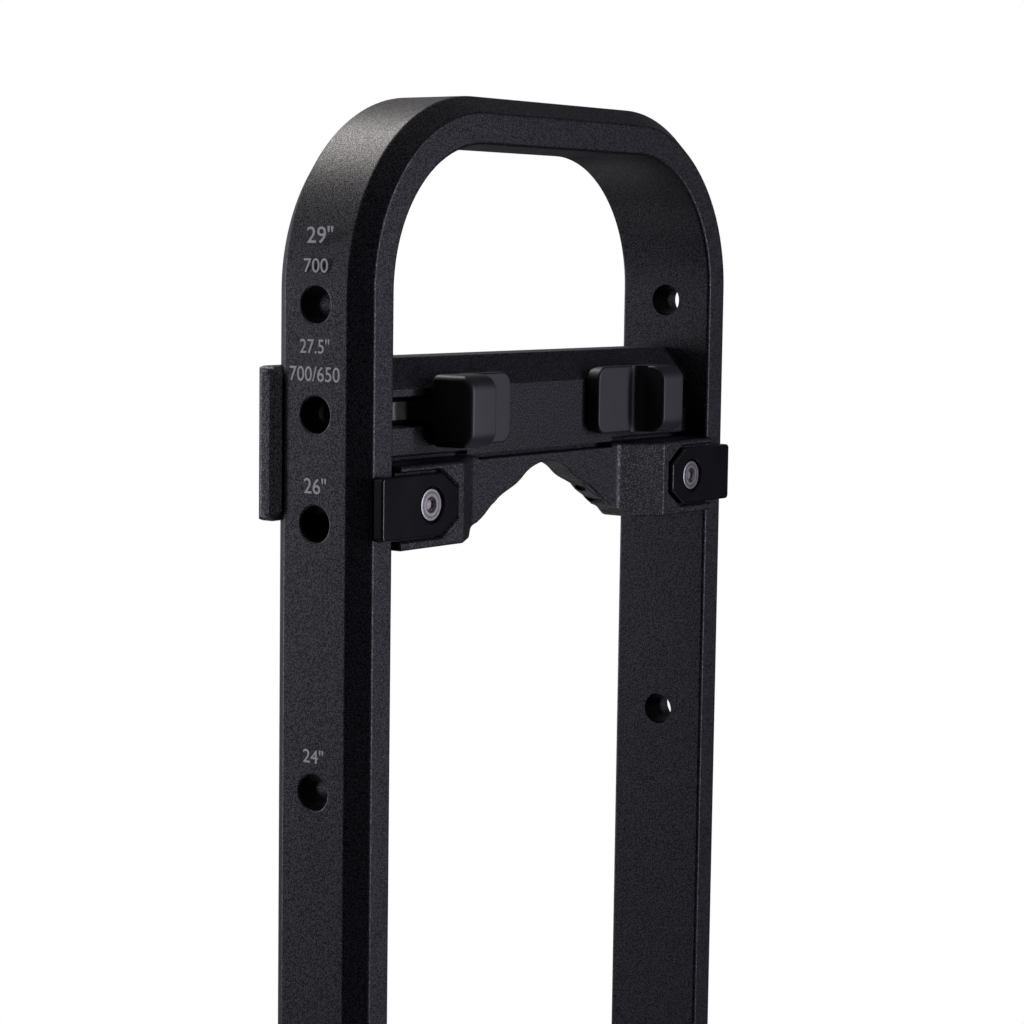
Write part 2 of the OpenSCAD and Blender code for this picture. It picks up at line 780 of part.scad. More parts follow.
// A trough along the bicycle with slots in its floor
module wheel_tray(middle_y, length) {
    slot_len = 34;
    slot_w = 8;
    slot_margin = 45;
    slot_step = 26;
    difference() {
        translate([-beam_back, middle_y, bracket_top]) slab_y(-length / 2, length / 2) tray_outline();
        for (side = [-1, 1], step = [0, 1]) {
            slot_y = middle_y + side * (length / 2 - slot_margin - step * slot_step);
            translate([-beam_back, slot_y, bracket_top - over])
                linear_extrude(tray_t + 2 * over) round_rect(slot_len, slot_w, slot_w / 2 - 0.1);
        }
    }
}

module front_tray() {
    color(plastic_black) difference() {
        wheel_tray(-hoop_back, front_tray_len);
        bracket_bolt_places() translate([0, 0, bracket_top])
            cylinder(d1 = bolt_m8, d2 = bolt_m8 + 2 * tray_t, h = tray_t, $fn = round_fn);
    }
}

module at_hoop_pivot() {
    translate([-beam_back, -hoop_back, hoop_pivot_z]) children();
}

module hoop_pivot_bolts() {
    color(zinc) at_hoop_pivot() both_sides() {
        drum_x(hoop_bolt_d, ear_x - ear_t, hoop_w / 2 + hoop_nut_t + 2);
        drum_x(hoop_bolt_d * 1.8, ear_x - ear_t - hoop_bolt_head, ear_x - ear_t);
    }
}

module hoop_pivot_nut() {
    nut_x = hoop_w / 2 + slide_gap;
    color(zinc) at_hoop_pivot() difference() {
        drum_x(hoop_bolt_d * 1.7 / cos(30), nut_x, nut_x + hoop_nut_t, 6);
        drum_x(hoop_bolt_d, nut_x - over, nut_x + hoop_nut_t + over);
    }
}

module hoop_lock_knob() {
    knob_near = -hoop_w / 2 - slide_gap;
    color(plastic_black) at_hoop_pivot() difference() {
        union() {
            slab_x(knob_near - knob_stub, knob_near - 6) star_outline(hoop_knob_d, 7);
            drum_x(hoop_knob_d * 0.5, knob_near - 8, knob_near);
        }
        drum_x(hoop_bolt_d + 2 * fit_gap, knob_near - hoop_nut_t - 4, knob_near + over);
    }
}

module rear_tray() {
    color(plastic_black) wheel_tray(rear_y, rear_tray_len);
}

module rear_clamp() {
    beam_mid = beam_bottom + beam_h / 2;
    inside_w = beam_w + 2 * clamp_gap;
    inside_h = beam_h + 2 * clamp_gap;
    clamp_rise = bracket_top - beam_top;
    color(powder_black) difference() {
        translate([-beam_back, rear_y, beam_mid]) slab_y(-clamp_len / 2, clamp_len / 2) difference() {
            translate([-inside_w / 2 - clamp_t, -inside_h / 2 - clamp_t])
                square([inside_w + 2 * clamp_t, inside_h / 2 + clamp_t + beam_h / 2 + clamp_rise]);
            round_rect(inside_w, inside_h, 4);
        }
        translate([-beam_back, rear_y, beam_bottom - clamp_gap - clamp_t - over])
            cylinder(d = clamp_bolt_d + 2 * fit_gap, h = clamp_t + 2 * over, $fn = round_fn);
    }
}

module rear_clamp_bolt() {
    color(zinc) translate([-beam_back, rear_y, 0]) {
        translate([0, 0, beam_bottom - clamp_gap - clamp_t - clamp_knob_t])
            cylinder(d = clamp_bolt_d, h = clamp_t + clamp_knob_t, $fn = round_fn);
    }
}

module rear_clamp_knob() {
    knob_top = beam_bottom - clamp_gap - clamp_t - slide_gap;
    color(plastic_black) translate([-beam_back, rear_y, 0]) difference() {
        union() {
            translate([0, 0, knob_top - clamp_knob_t]) linear_extrude(clamp_knob_t - 5)
                star_outline(clamp_knob_d, 6);
            translate([0, 0, knob_top - 7]) cylinder(d = clamp_knob_d * 0.5, h = 7, $fn = round_fn);
        }
        translate([0, 0, knob_top + slide_gap - clamp_knob_t])
            cylinder(d = clamp_bolt_d, h = clamp_knob_t + over, $fn = round_fn);
    }
}

module at_strap() {
    translate([-beam_back, rear_y + strap_y, bracket_top]) children();
}

// Blocks under the tray's slanting walls that carry the ends of the strap
module strap_anchors() {
    slope = (tray_w - tray_floor_w) / 2 / tray_h;
    low = tray_h - anchor_h;
    color(plastic_black) at_strap() difference() {
        both_sides() slab_y(-anchor_w / 2, anchor_w / 2) polygon([
            [tray_floor_w / 2 + slope * low, low], [tray_w / 2, tray_h], [strap_r, tray_h], [strap_r, low]
        ]);
        strap_screw_shaft();
    }
}

module wheel_strap() {
    color(rubber_black) at_strap() difference() {
        slab_y(-strap_w / 2, strap_w / 2) {
            for (x = [-strap_r - strap_t, strap_r]) translate([x, 4]) square([strap_t, strap_side - 4]);
            translate([0, strap_side]) difference() {
                circle(r = strap_r + strap_t, $fn = 96);
                circle(r = strap_r, $fn = 96);
                translate([-tray_w, -tray_w]) square([2 * tray_w, tray_w]);
            }
        }
        strap_screw_shaft();
    }
}

module strap_screw_shaft() {
    translate([0, 0, tray_h - 8]) drum_x(4, strap_r - 4, strap_r + strap_t + 1);
}

module strap_screw() {
    color(zinc) at_strap() difference() {
        union() {
            strap_screw_shaft();
            translate([0, 0, tray_h - 8]) drum_x(9, strap_r + strap_t, strap_r + strap_t + 2.5);
        }
        translate([0, 0, tray_h - 8]) drum_x(2.5 / cos(30), strap_r + strap_t + 1, strap_r + strap_t + 4, 6);
    }
}

module buckle_base() {
    near = strap_r + strap_t;
    far = near + buckle_t;
    cheek = 2.5;
    width = strap_w + 2 * cheek + 1;
    pin_z = buckle_h - 2;
    color(plastic_black) at_strap() mirror([1, 0, 0]) difference() {
        union() {
            slab_y(-width / 2, width / 2) translate([near, 6]) square([buckle_t - 4, buckle_h - 6]);
            for (y = [-width / 2, width / 2 - cheek]) slab_y(y, y + cheek)
                translate([near, pin_z - 8]) round_rect_corner(buckle_t + 5, 16, 4);
        }
        slab_y(cheek - width / 2, width / 2 - cheek)
            translate([near + 2.2, pin_z - 7]) square([buckle_t + 5, 20]);
        translate([far, 0, pin_z]) drum_y(buckle_pin_d, -width, width, 24);
    }
}

// A rectangle from the origin to w, h with its two far corners round
module round_rect_corner(w, h, r) {
    square([w - r, h]);
    translate([0, r]) square([w, h - 2 * r]);
    for (y = [r, h - r]) translate([w - r, y]) circle(r = r, $fn = 32);
}

module buckle_pin() {
    width = strap_w + 6;
    color(steel) at_strap() mirror([1, 0, 0])
        translate([strap_r + strap_t + buckle_t, 0, buckle_h - 2])
            drum_y(buckle_pin_d, -width / 2, width / 2, 24);
}

module buckle_lever() {
    pin_x = strap_r + strap_t + buckle_t;
    pin_z = buckle_h - 2;
    color(plastic_black) at_strap() mirror([1, 0, 0]) difference() {
        slab_y(-lever_w / 2, lever_w / 2) {
            translate([pin_x, pin_z]) circle(r = lever_t, $fn = 48);
            translate([pin_x, pin_z]) square([lever_t, lever_len - lever_t]);
            translate([pin_x + lever_t / 2, pin_z + lever_len - lever_t]) circle(d = lever_t, $fn = 32);
        }
        translate([pin_x, 0, pin_z]) drum_y(buckle_pin_d + 2 * fit_gap, -lever_w, lever_w, 24);
    }
}

module hoop_frame() {
    color(powder_black) at_hoop() difference() {
        union() {
            both_sides() translate([inner_x, 0, leg_bottom])
                linear_extrude(bend_z - leg_bottom) hoop_section();
            both_sides() translate([bend_x, 0, bend_z]) rotate([90, 0, 0])
                rotate_extrude(angle = 90, $fn = 128) mirror([0, 1]) translate([bend_in, 0]) hoop_section();
            translate([0, 0, bend_z + bend_in]) slab_x(-bend_x, bend_x) mirror([1, -1]) hoop_section();
        }
        for (level = hole_levels) translate([0, 0, level]) drum_x(hole_d, -hoop_w, hoop_w);
        translate([0, 0, hoop_pivot_z - hole_top_z]) drum_x(hoop_bolt_d + 2 * fit_gap, -hoop_w, hoop_w);
    }
}

// Plug in the end of the hoop's right leg, with the bore for the pivot bolt
module foot_plug() {
    plug_up = 2 * foot_end;
    at_hoop() translate([0, 0, leg_bottom]) difference() {
        union() {
            translate([inner_x, 0, -3]) linear_extrude(3) polygon(hoop_outline());
            translate([inner_x, 0, -over]) linear_extrude(plug_up + over)
                polygon(hoop_outline(-leg_wall - 0.15));
        }
        translate([0, 0, foot_end]) drum_x(hoop_bolt_d + 2 * fit_gap, 0, hoop_w);
    }
}

module left_foot_plug() {
    color(plastic_black) translate([-2 * beam_back, 0, 0]) mirror([1, 0, 0]) foot_plug();
}

module right_foot_plug() {
    color(plastic_black) foot_plug();
}

// Outline of the crossbar: Y along the bicycle, Z up from the lock pins
module bar_outline() {
    polygon([
        [-bar_y, -bar_down], [-bar_y, bar_up - bar_slope_h], [bar_slope_d - bar_y, bar_up],
        [bar_y - 1, bar_up], [bar_y, bar_up - 1], [bar_y, -bar_down]
    ]);
}

// Room inside the hoop when the cradle is at its top hole, grown inwards by the running gap
module hoop_room() {
    room_z = bend_z;
    room_r = bend_in - slide_gap;
    translate([-cradle_x, -2 * hole_pitch]) square([2 * cradle_x, 2 * hole_pitch + room_z]);
    for (x = [-bend_x, bend_x]) translate([x, room_z]) circle(r = room_r, $fn = 128);
    translate([-bend_x, room_z]) square([2 * bend_x, room_r]);
}

function notch_line(first, last, lift) = [for (i = [first : last]) notch[i] + [0, lift]];
function reversed(list) = [for (i = [len(list) - 1 : -1 : 0]) list[i]];
function flipped(list) = [for (p = reversed(list)) [-p[0], p[1]]];

module notch_cut(lift = 0) {
    line = notch_line(0, len(notch) - 1, lift);
    low = -boss_bottom - over;
    polygon(concat([[-notch[len(notch) - 1][0], low]], flipped(line), [for (i = [1 : len(line) - 1]) line[i]],
        [[notch[len(notch) - 1][0], low]]));
}

module pad_outline() {
    polygon(concat([notch[pad_first]], notch_line(pad_first + 1, pad_last - 1, -pad_proud),
        [notch[pad_last]], reversed(notch_line(pad_first, pad_last, pad_t))));
}

// Place of the screw in the right pad, axis square to the pad's face
module at_pad_screw() {
    translate([screw_x, web_y, screw_z]) rotate([0, screw_slope, 0]) children();
}

module clip_outline(grow) {
    x_a = clip_x - grow;
    x_b = inner_x + clip_out;
    z_a = -clip_top + grow;
    z_b = -clip_top - clip_h - grow;
    polygon([
        [x_a + clip_cut, z_a], [x_b - clip_r, z_a],
        [x_b - clip_r * 0.3, z_a - clip_r * 0.3], [x_b, z_a - clip_r],
        [x_b, z_b + clip_r], [x_b - clip_r * 0.3, z_b + clip_r * 0.3], [x_b - clip_r, z_b],
        [x_a + clip_cut, z_b], [x_a, z_b + clip_cut], [x_a, z_a - clip_cut]
    ]);
}

module cradle_body() {
    color(plastic_black) at_cradle() difference() {
        union() {
            intersection() {
                slab_x(-cradle_x, cradle_x) bar_outline();
                slab_y(-hoop_w, hoop_w) hoop_room();
            }
            slab_x(-cradle_x, cradle_x) translate([groove_d - bar_y, -low_top - over])
                square([bar_d - 2 * groove_d, groove_h + 2 * over]);
            slab_y(-low_y, web_t - low_y) translate([-cradle_x, -boss_bottom])
                square([2 * cradle_x, boss_bottom - low_top]);
            both_sides() translate([0, 0, -boss_bottom]) linear_extrude(boss_bottom - boss_top) polygon([
                [boss_x - boss_slant, -low_y], [boss_x, -boss_y], [cradle_x, -boss_y],
                [cradle_x, web_t - low_y], [boss_x - boss_slant, web_t - low_y]
            ]);
            both_sides() translate([clip_x, -low_y, -back_low])
                cube([cradle_x - clip_x, low_y + seat_y, back_low - boss_top]);
        }
        slab_y(-hoop_w, hoop_w) notch_cut();
        slab_y(web_y - pad_w / 2, web_y + pad_w / 2) {
            pad_outline();
            mirror([1, 0]) pad_outline();
        }
        both_sides() {
            drum_x(pin_d + 2 * fit_gap, bore_in, hoop_w);
            translate([tab_out - tab_block_w - 2 * slide_gap, -bar_y - over, -slot_h / 2])
                cube([hoop_w, bar_y + over, slot_h]);
            slab_y(-boss_y - over, -seat_y) clip_outline(clip_seam);
            translate([bolt_x, 0, -clip_z]) drum_y(clip_bolt_d, -hoop_w, hoop_w);
            at_pad_screw() cylinder(d = pad_screw_d, h = 12, $fn = 24);
        }
    }
}

module right_pad_form() {
    at_cradle() difference() {
        slab_y(web_y - pad_w / 2, web_y + pad_w / 2) pad_outline();
        at_pad_screw() {
            translate([0, 0, -2 * pad_proud])
                cylinder(d = pad_head_d + 0.4, h = 2 * pad_proud + pad_seat, $fn = 32);
            cylinder(d = pad_screw_d, h = 2 * pad_t, $fn = 24);
        }
    }
}

module left_pad() {
    color(rubber_black) translate([-2 * beam_back, 0, 0]) mirror([1, 0, 0]) right_pad_form();
}

module right_pad() {
    color(rubber_black) right_pad_form();
}

module pad_screws() {
    color(steel) at_cradle() both_sides() at_pad_screw() {
        translate([0, 0, pad_seat - 1.4]) cylinder(d = pad_head_d, h = 1.4, $fn = 32);
        translate([0, 0, pad_seat - 1]) cylinder(d = pad_screw_d, h = 9, $fn = 24);
    }
}

// Plate that holds the cradle to the front of the right leg
module clip_plate() {
    at_cradle() difference() {
        slab_y(-clip_face, -seat_y) clip_outline(0);
        translate([bolt_x, 0, -clip_z]) bolt_form(0);
    }
}

// A countersunk bolt along Y, its head in the clip plate's face
module bolt_form(proud) {
    head_h = (clip_head_d - clip_bolt_d) / 2;
    translate([0, -clip_face, 0]) rotate([-90, 0, 0])
        cylinder(d1 = clip_head_d, d2 = clip_bolt_d, h = head_h, $fn = round_fn);
    drum_y(clip_bolt_d, -clip_face + head_h / 2, guide_face + m6_nut_t + 1);
}

module left_clip_plate() {
    color(plastic_black) translate([-2 * beam_back, 0, 0]) mirror([1, 0, 0]) clip_plate();
}

module right_clip_plate() {
    color(plastic_black) clip_plate();
}

module clip_bolts() {
    color(steel) at_cradle() both_sides() translate([bolt_x, 0, -clip_z]) difference() {
        bolt_form(0);
        drum_y(4 / cos(30), -clip_face - over, 2.2 - clip_face, 6);
    }
}

module clip_nuts() {
    color(zinc) at_cradle() both_sides() translate([bolt_x, 0, -clip_z]) difference() {
        drum_y(m6_nut_w / cos(30), guide_face, guide_face + m6_nut_t, 6);
        drum_y(clip_bolt_d, guide_face - over, guide_face + m6_nut_t + over);
    }
}

// Guide that hugs the back corner of the right leg
module back_guide() {
    lip_x = hoop_w / 2 + slide_gap + guide_lip;
    lip_y = leg_d / 2 - chamfer_d;
    bevel_w = 1.4;
    bevel_d = 4.8;
    at_cradle() difference() {
        translate([0, 0, -guide_down]) linear_extrude(guide_up + guide_down) difference() {
            polygon([
                [clip_x, seat_y], [inner_x + leg_t / 2, seat_y], [inner_x + leg_t / 2, lip_y],
                [lip_x - bevel_w, lip_y], [lip_x, lip_y + bevel_d], [lip_x, guide_face - 3],
                [lip_x - 3, guide_face], [clip_x, guide_face]
            ]);
            translate([inner_x, 0]) polygon(hoop_outline(slide_gap));
        }
        translate([bolt_x, 0, -clip_z]) drum_y(clip_bolt_d, 0, hoop_w);
        translate([clip_x - over, 0, -boss_top])
            cube([inner_x - clip_x, leg_d, hoop_w]);
    }
}

module left_back_guide() {
    color(plastic_black) translate([-2 * beam_back, 0, 0]) mirror([1, 0, 0]) back_guide();
}

module right_back_guide() {
    color(plastic_black) back_guide();
}

module tab_outline() {
    translate([tab_in + tab_len / 2, 0]) round_rect(tab_len, tab_h, tab_r);
}

// Squeeze tab of the right latch, with the arm that reaches the pin through the slot
module tab_form() {
    wall_x = tab_out - tab_block_w;
    base_y = -tab_y - tab_base_t;
    block_y = base_y - tab_block_h;
    at_cradle() {
        intersection() {
            slab_y(block_y, -tab_y) tab_outline();
            union() {
                slab_y(base_y, -tab_y) tab_outline();
                slab_x(wall_x, tab_out) translate([block_y + tab_h / 2, 0])
                    round_rect(tab_h, tab_h, tab_front_r);
                translate([0, 0, -tab_h / 2]) linear_extrude(tab_h) difference() {
                    translate([wall_x - tab_hollow, base_y - tab_hollow])
                        square([tab_hollow + 1, tab_hollow + 1]);
                    translate([wall_x - tab_hollow, base_y - tab_hollow])
                        circle(r = tab_hollow, $fn = round_fn);
                }
            }
        }
        translate([wall_x, -tab_y - over, -arm_h / 2])
            cube([tab_block_w, tab_y + over - pin_face, arm_h]);
    }
}

module left_tab() {
    color(plastic_black) translate([-2 * beam_back, 0, 0]) mirror([1, 0, 0]) tab_form();
}

module right_tab() {
    color(plastic_black) tab_form();
}

// Lock pin of the right latch, with a flat towards the slot
module pin_form() {
    at_cradle() difference() {
        drum_x(pin_d, pin_in, cradle_x);
        translate([pin_in - over, -pin_d, -pin_r])
            cube([pin_len - pin_travel, pin_d - pin_face, pin_d]);
    }
}

module left_lock_pin() {
    color(steel) translate([-2 * beam_back, 0, 0]) mirror([1, 0, 0]) pin_form();
}

module right_lock_pin() {
    color(steel) pin_form();
}

// Spring between the cradle's middle and the right lock pin
module spring_form() {
    at_cradle() translate([bore_in + 0.1, 0, 0]) rotate([0, 90, 0])
        wound_spring(spring_len - 0.2, pin_d - 1, spring_wire, spring_curls);
}

module left_spring() {
    color(steel) translate([-2 * beam_back, 0, 0]) mirror([1, 0, 0]) spring_form();
}

module right_spring() {
    color(steel) spring_form();
}

stinger_tube();
bracket_plates();
stinger_end_plug();
anti_rattle_rod();
anti_rattle_knob();
anti_rattle_nut();
anti_rattle_wedge();
tilt_pivot_bolt();
tilt_pivot_nut();
tilt_lock_housing();
tilt_lock_cap();
tilt_lock_pin();
tilt_lock_handle();
tilt_lock_spring();
spine_tube();
spine_end_cap();
index_plates();
spine_sleeve();
beam_saddle();
saddle_bolts();
tray_beam();
beam_end_caps();
hoop_bracket();
bracket_bolts();
front_tray();
hoop_pivot_bolts();
hoop_pivot_nut();
hoop_lock_knob();
rear_tray();
rear_clamp();
rear_clamp_bolt();
rear_clamp_knob();
strap_anchors();
wheel_strap();
strap_screw();
buckle_base();
buckle_pin();
buckle_lever();
hoop_frame();
left_foot_plug();
right_foot_plug();
cradle_body();
left_pad();
right_pad();
pad_screws();
left_clip_plate();
right_clip_plate();
clip_bolts();
clip_nuts();
left_back_guide();
right_back_guide();
left_tab();
right_tab();
left_lock_pin();
right_lock_pin();
left_spring();
right_spring();
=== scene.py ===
import json
from math import atan2, cos, pi, radians, sin, tan

import bmesh
import bpy
from mathutils import Matrix, Vector

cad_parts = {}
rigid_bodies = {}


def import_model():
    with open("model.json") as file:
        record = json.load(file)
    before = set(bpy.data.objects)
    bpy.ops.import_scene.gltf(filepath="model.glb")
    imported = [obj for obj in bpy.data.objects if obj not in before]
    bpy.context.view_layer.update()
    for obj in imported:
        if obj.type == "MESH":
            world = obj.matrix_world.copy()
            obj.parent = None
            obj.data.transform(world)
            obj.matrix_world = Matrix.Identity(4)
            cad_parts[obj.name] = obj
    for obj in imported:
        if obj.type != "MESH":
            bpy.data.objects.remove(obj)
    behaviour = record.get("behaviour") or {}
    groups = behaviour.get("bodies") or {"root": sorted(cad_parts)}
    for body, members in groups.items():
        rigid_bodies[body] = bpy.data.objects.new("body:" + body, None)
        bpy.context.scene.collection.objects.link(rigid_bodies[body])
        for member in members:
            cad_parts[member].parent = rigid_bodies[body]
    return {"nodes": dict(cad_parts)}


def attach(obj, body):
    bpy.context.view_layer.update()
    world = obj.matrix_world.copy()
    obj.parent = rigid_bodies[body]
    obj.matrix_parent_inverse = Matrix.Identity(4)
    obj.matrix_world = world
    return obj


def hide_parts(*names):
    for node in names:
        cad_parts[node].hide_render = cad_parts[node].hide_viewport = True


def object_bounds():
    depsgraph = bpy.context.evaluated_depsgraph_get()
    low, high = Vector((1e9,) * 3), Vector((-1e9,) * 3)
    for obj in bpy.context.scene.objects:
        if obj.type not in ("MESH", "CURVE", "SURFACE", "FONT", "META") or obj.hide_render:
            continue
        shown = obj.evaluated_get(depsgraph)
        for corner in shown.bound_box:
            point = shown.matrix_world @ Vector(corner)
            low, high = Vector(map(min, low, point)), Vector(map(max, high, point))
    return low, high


for spare in list(bpy.data.objects):
    bpy.data.objects.remove(spare)

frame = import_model()
cad_low, cad_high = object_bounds()


# ---------------------------------------------------------------- camera
# The photograph is a close view of the top of the wheel hoop, taken with a long lens from the
# front left and a little above its middle. The place was solved from the edges of the hoop.
camera_at = Vector((-1.21328, -1.14713, 0.94761))
heading, dip, roll = radians(54.06), radians(-5.71), radians(0.79)
forward = Vector((sin(heading) * cos(dip), cos(heading) * cos(dip), sin(dip)))
level = forward.cross(Vector((0, 0, 1))).normalized()
upright = level.cross(forward)
right = cos(roll) * level + sin(roll) * upright
up = cos(roll) * upright - sin(roll) * level
camera = bpy.data.objects.new("photo_camera", bpy.data.cameras.new("long_lens"))
camera.data.sensor_width, camera.data.lens = 36, 91.96
camera.data.clip_start = 0.05
camera.matrix_world = (
    Matrix.Translation(camera_at) @ Matrix((right, up, -forward)).transposed().to_4x4())
bpy.context.scene.collection.objects.link(camera)
bpy.context.scene.camera = camera


# ---------------------------------------------------------------- studio
# A white room with one soft box high above, two on the right and one on the left. Where the
# photographer stands it is dark, which draws the chamfers; the pale floor fades into the room.
class Wire:
    """One socket of a node net; a sum on wires adds its Math node"""

    def __init__(self, net, socket):
        self.net, self.socket = net, socket

    def sum(self, how, first, second):
        return self.net.node("ShaderNodeMath", {"operation": how}, {0: first, 1: second})

    def __add__(self, other):
        return self.sum("ADD", self, other)

    def __radd__(self, other):
        return self.sum("ADD", other, self)

    def __sub__(self, other):
        return self.sum("SUBTRACT", self, other)

    def __rsub__(self, other):
        return self.sum("SUBTRACT", other, self)

    def __mul__(self, other):
        return self.sum("MULTIPLY", self, other)

    def __rmul__(self, other):
        return self.sum("MULTIPLY", other, self)

    def __pow__(self, other):
        return self.sum("POWER", self, other)


class Net:
    """A node tree that is filled by one call for each node"""

    def __init__(self, tree):
        self.tree = tree

    def join(self, value, socket):
        if isinstance(value, Wire):
            self.tree.links.new(value.socket, socket)
        else:
            socket.default_value = value

    def node(self, kind, settings=None, sockets=None, out=0):
        made = self.tree.nodes.new(kind)
        for name, value in (settings or {}).items():
            setattr(made, name, value)
        for name, value in (sockets or {}).items():
            self.join(value, made.inputs[name])
        return Wire(self, made.outputs[out]) if len(made.outputs) else None

    def ramp(self, value, low, high, to_low=0.0, to_high=1.0):
        """Value from low to high, mapped smoothly on to_low to to_high"""
        return self.node("ShaderNodeMapRange", {"interpolation_type": "SMOOTHSTEP"}, {
            "Value": value, "From Min": low, "From Max": high, "To Min": to_low, "To Max": to_high})

    def tint(self, share, plain, other):
        """Colour between plain and other"""
        return self.node("ShaderNodeMix", {"data_type": "RGBA"}, {0: share, 6: plain, 7: other}, 2)


room = bpy.data.worlds.new("white_room")
room.use_nodes = True
bpy.context.scene.world = room
bpy.context.scene.view_settings.view_transform = "Standard"
air = Net(room.node_tree)
air.tree.nodes.clear()
look = air.node("ShaderNodeTexCoord", out="Generated")
look_up = air.node("ShaderNodeSeparateXYZ", sockets={0: look}, out="Z")
brightest_way = (-0.28, 0.83, 0.48)
bright_side = air.node("ShaderNodeVectorMath", {"operation": "DOT_PRODUCT"},
                       {0: look, 1: brightest_way}, "Value")
shade = (air.ramp(bright_side, -0.2, 0.95, to_low=0.04, to_high=0.40)
         * air.ramp(look_up, -0.35, 0.05, to_low=0.12, to_high=1.0))
lit = air.node("ShaderNodeBackground", sockets={"Color": (0.95, 0.94, 1, 1), "Strength": shade})
seen = air.node("ShaderNodeBackground", sockets={"Color": (1, 1, 1, 1), "Strength": 1.0})
to_lens = air.node("ShaderNodeLightPath", out="Is Camera Ray")
air.node("ShaderNodeOutputWorld", sockets={
    "Surface": air.node("ShaderNodeMixShader", sockets={0: to_lens, 1: lit, 2: seen})})

hoop_top = Vector((-0.40, -0.56, 0.90))
warm, cool, pale_cool = (1.0, 0.96, 0.91), (0.91, 0.88, 1.0), (0.92, 0.90, 1.0)
for name, at, size, watts, colour in (
        ("top_box", (-0.32, 0.61, 2.53), (1.0, 0.8), 23, warm),
        ("strip_box", (0.54, -2.43, 0.9), (0.3, 1.6), 26, cool),
        ("edge_box", (0.04, -2.61, 0.9), (0.2, 1.4), 7, pale_cool),
        ("left_box", (-1.39, 1.40, 0.8), (0.5, 1.2), 21, cool)):
    lamp = bpy.data.lights.new(name, "AREA")
    lamp.shape, lamp.color, lamp.energy = "RECTANGLE", colour, watts
    lamp.size, lamp.size_y = size
    aim = (hoop_top - Vector(at)).to_track_quat("-Z", "Y").to_matrix().to_4x4()
    soft_box = bpy.data.objects.new(name, lamp)
    soft_box.matrix_world = Matrix.Translation(at) @ aim
    bpy.context.scene.collection.objects.link(soft_box)

floor_z = cad_low.z - 0.0005
floor_x, floor_r, floor_sides = -0.21, 1.5, 96
floor_mesh = bpy.data.meshes.new("pale_floor")
floor_turns = [2 * pi * i / floor_sides for i in range(floor_sides)]
floor_rim = [(floor_r * cos(t) + floor_x, floor_r * sin(t), floor_z) for t in floor_turns]
floor_mesh.from_pydata(floor_rim, [], [tuple(range(floor_sides))])
pale_floor = bpy.data.objects.new("pale_floor", floor_mesh)
bpy.context.scene.collection.objects.link(pale_floor)
floor_paint = bpy.data.materials.new("pale_floor")
floor_paint.use_nodes = True
floor_net = Net(floor_paint.node_tree)
floor_net.tree.nodes.clear()
middle = floor_net.node("ShaderNodeMapping", sockets={
    "Vector": floor_net.node("ShaderNodeTexCoord", out="Object"),
    "Location": (-floor_x, 0, -floor_z)})
away = floor_net.node("ShaderNodeVectorMath", {"operation": "LENGTH"}, {0: middle}, "Value")
fade = floor_net.ramp(away, 0.75, 1.42)
mottle = floor_net.node("ShaderNodeTexNoise", sockets={"Scale": 6.0, "Detail": 3.0})
matt = floor_net.node("ShaderNodeBsdfPrincipled", sockets={
    "Base Color": floor_net.tint(mottle, (0.64, 0.64, 0.64, 1), (0.69, 0.69, 0.69, 1)),
    "Roughness": 0.6})
clear = floor_net.node("ShaderNodeBsdfTransparent")
floor_net.node("ShaderNodeOutputMaterial", sockets={
    "Surface": floor_net.node("ShaderNodeMixShader", sockets={0: fade, 1: matt, 2: clear})})
floor_mesh.materials.append(floor_paint)


# ---------------------------------------------------------------- hitch tube and its plates
# The square steel tube goes into the car's receiver. Two steel plates are welded to its sides and
# carry the tilt hinge. Both have a fine sandy black powder coat.
class Finish(Net):
    """A named surface: one Principled shader fed by patterns on Object coordinates"""

    def __init__(self, name, fixed=None):
        self.material = bpy.data.materials.new(name)
        self.material.use_nodes = True
        super().__init__(self.material.node_tree)
        self.tree.nodes.clear()
        self.place = self.node("ShaderNodeTexCoord", out="Object")
        self.shader = self.tree.nodes.new("ShaderNodeBsdfPrincipled")
        for socket, value in (fixed or {}).items():
            self.shader.inputs[socket].default_value = value
        self.node("ShaderNodeOutputMaterial",
                  sockets={"Surface": Wire(self, self.shader.outputs[0])})

    def cloud(self, size, detail=2.0, rough=0.5, stretch=(1, 1, 1)):
        """Noise from 0 to 1 with spots of about size millimetres"""
        place = self.node("ShaderNodeMapping", sockets={"Vector": self.place, "Scale": stretch})
        return self.node("ShaderNodeTexNoise", sockets={
            "Vector": place, "Scale": 1000 / size, "Detail": detail, "Roughness": rough})

    def grains(self, size):
        """Distance from the middle of the nearest grain, grains about size millimetres apart"""
        return self.node("ShaderNodeTexVoronoi",
                         sockets={"Vector": self.place, "Scale": 1000 / size})

    def paint(self, colour, rough, height=None, depth=0.05, glint=None):
        """Fills in the shader: depth of the relief in millimetres, glint of a clear coat"""
        self.join(colour, self.shader.inputs["Base Color"])
        self.join(rough, self.shader.inputs["Roughness"])
        if glint:
            self.join(glint, self.shader.inputs["Coat Weight"])
        if height:
            relief = self.node("ShaderNodeBump", sockets={
                "Strength": 1.0, "Distance": depth / 1000, "Height": height})
            self.join(relief, self.shader.inputs["Normal"])


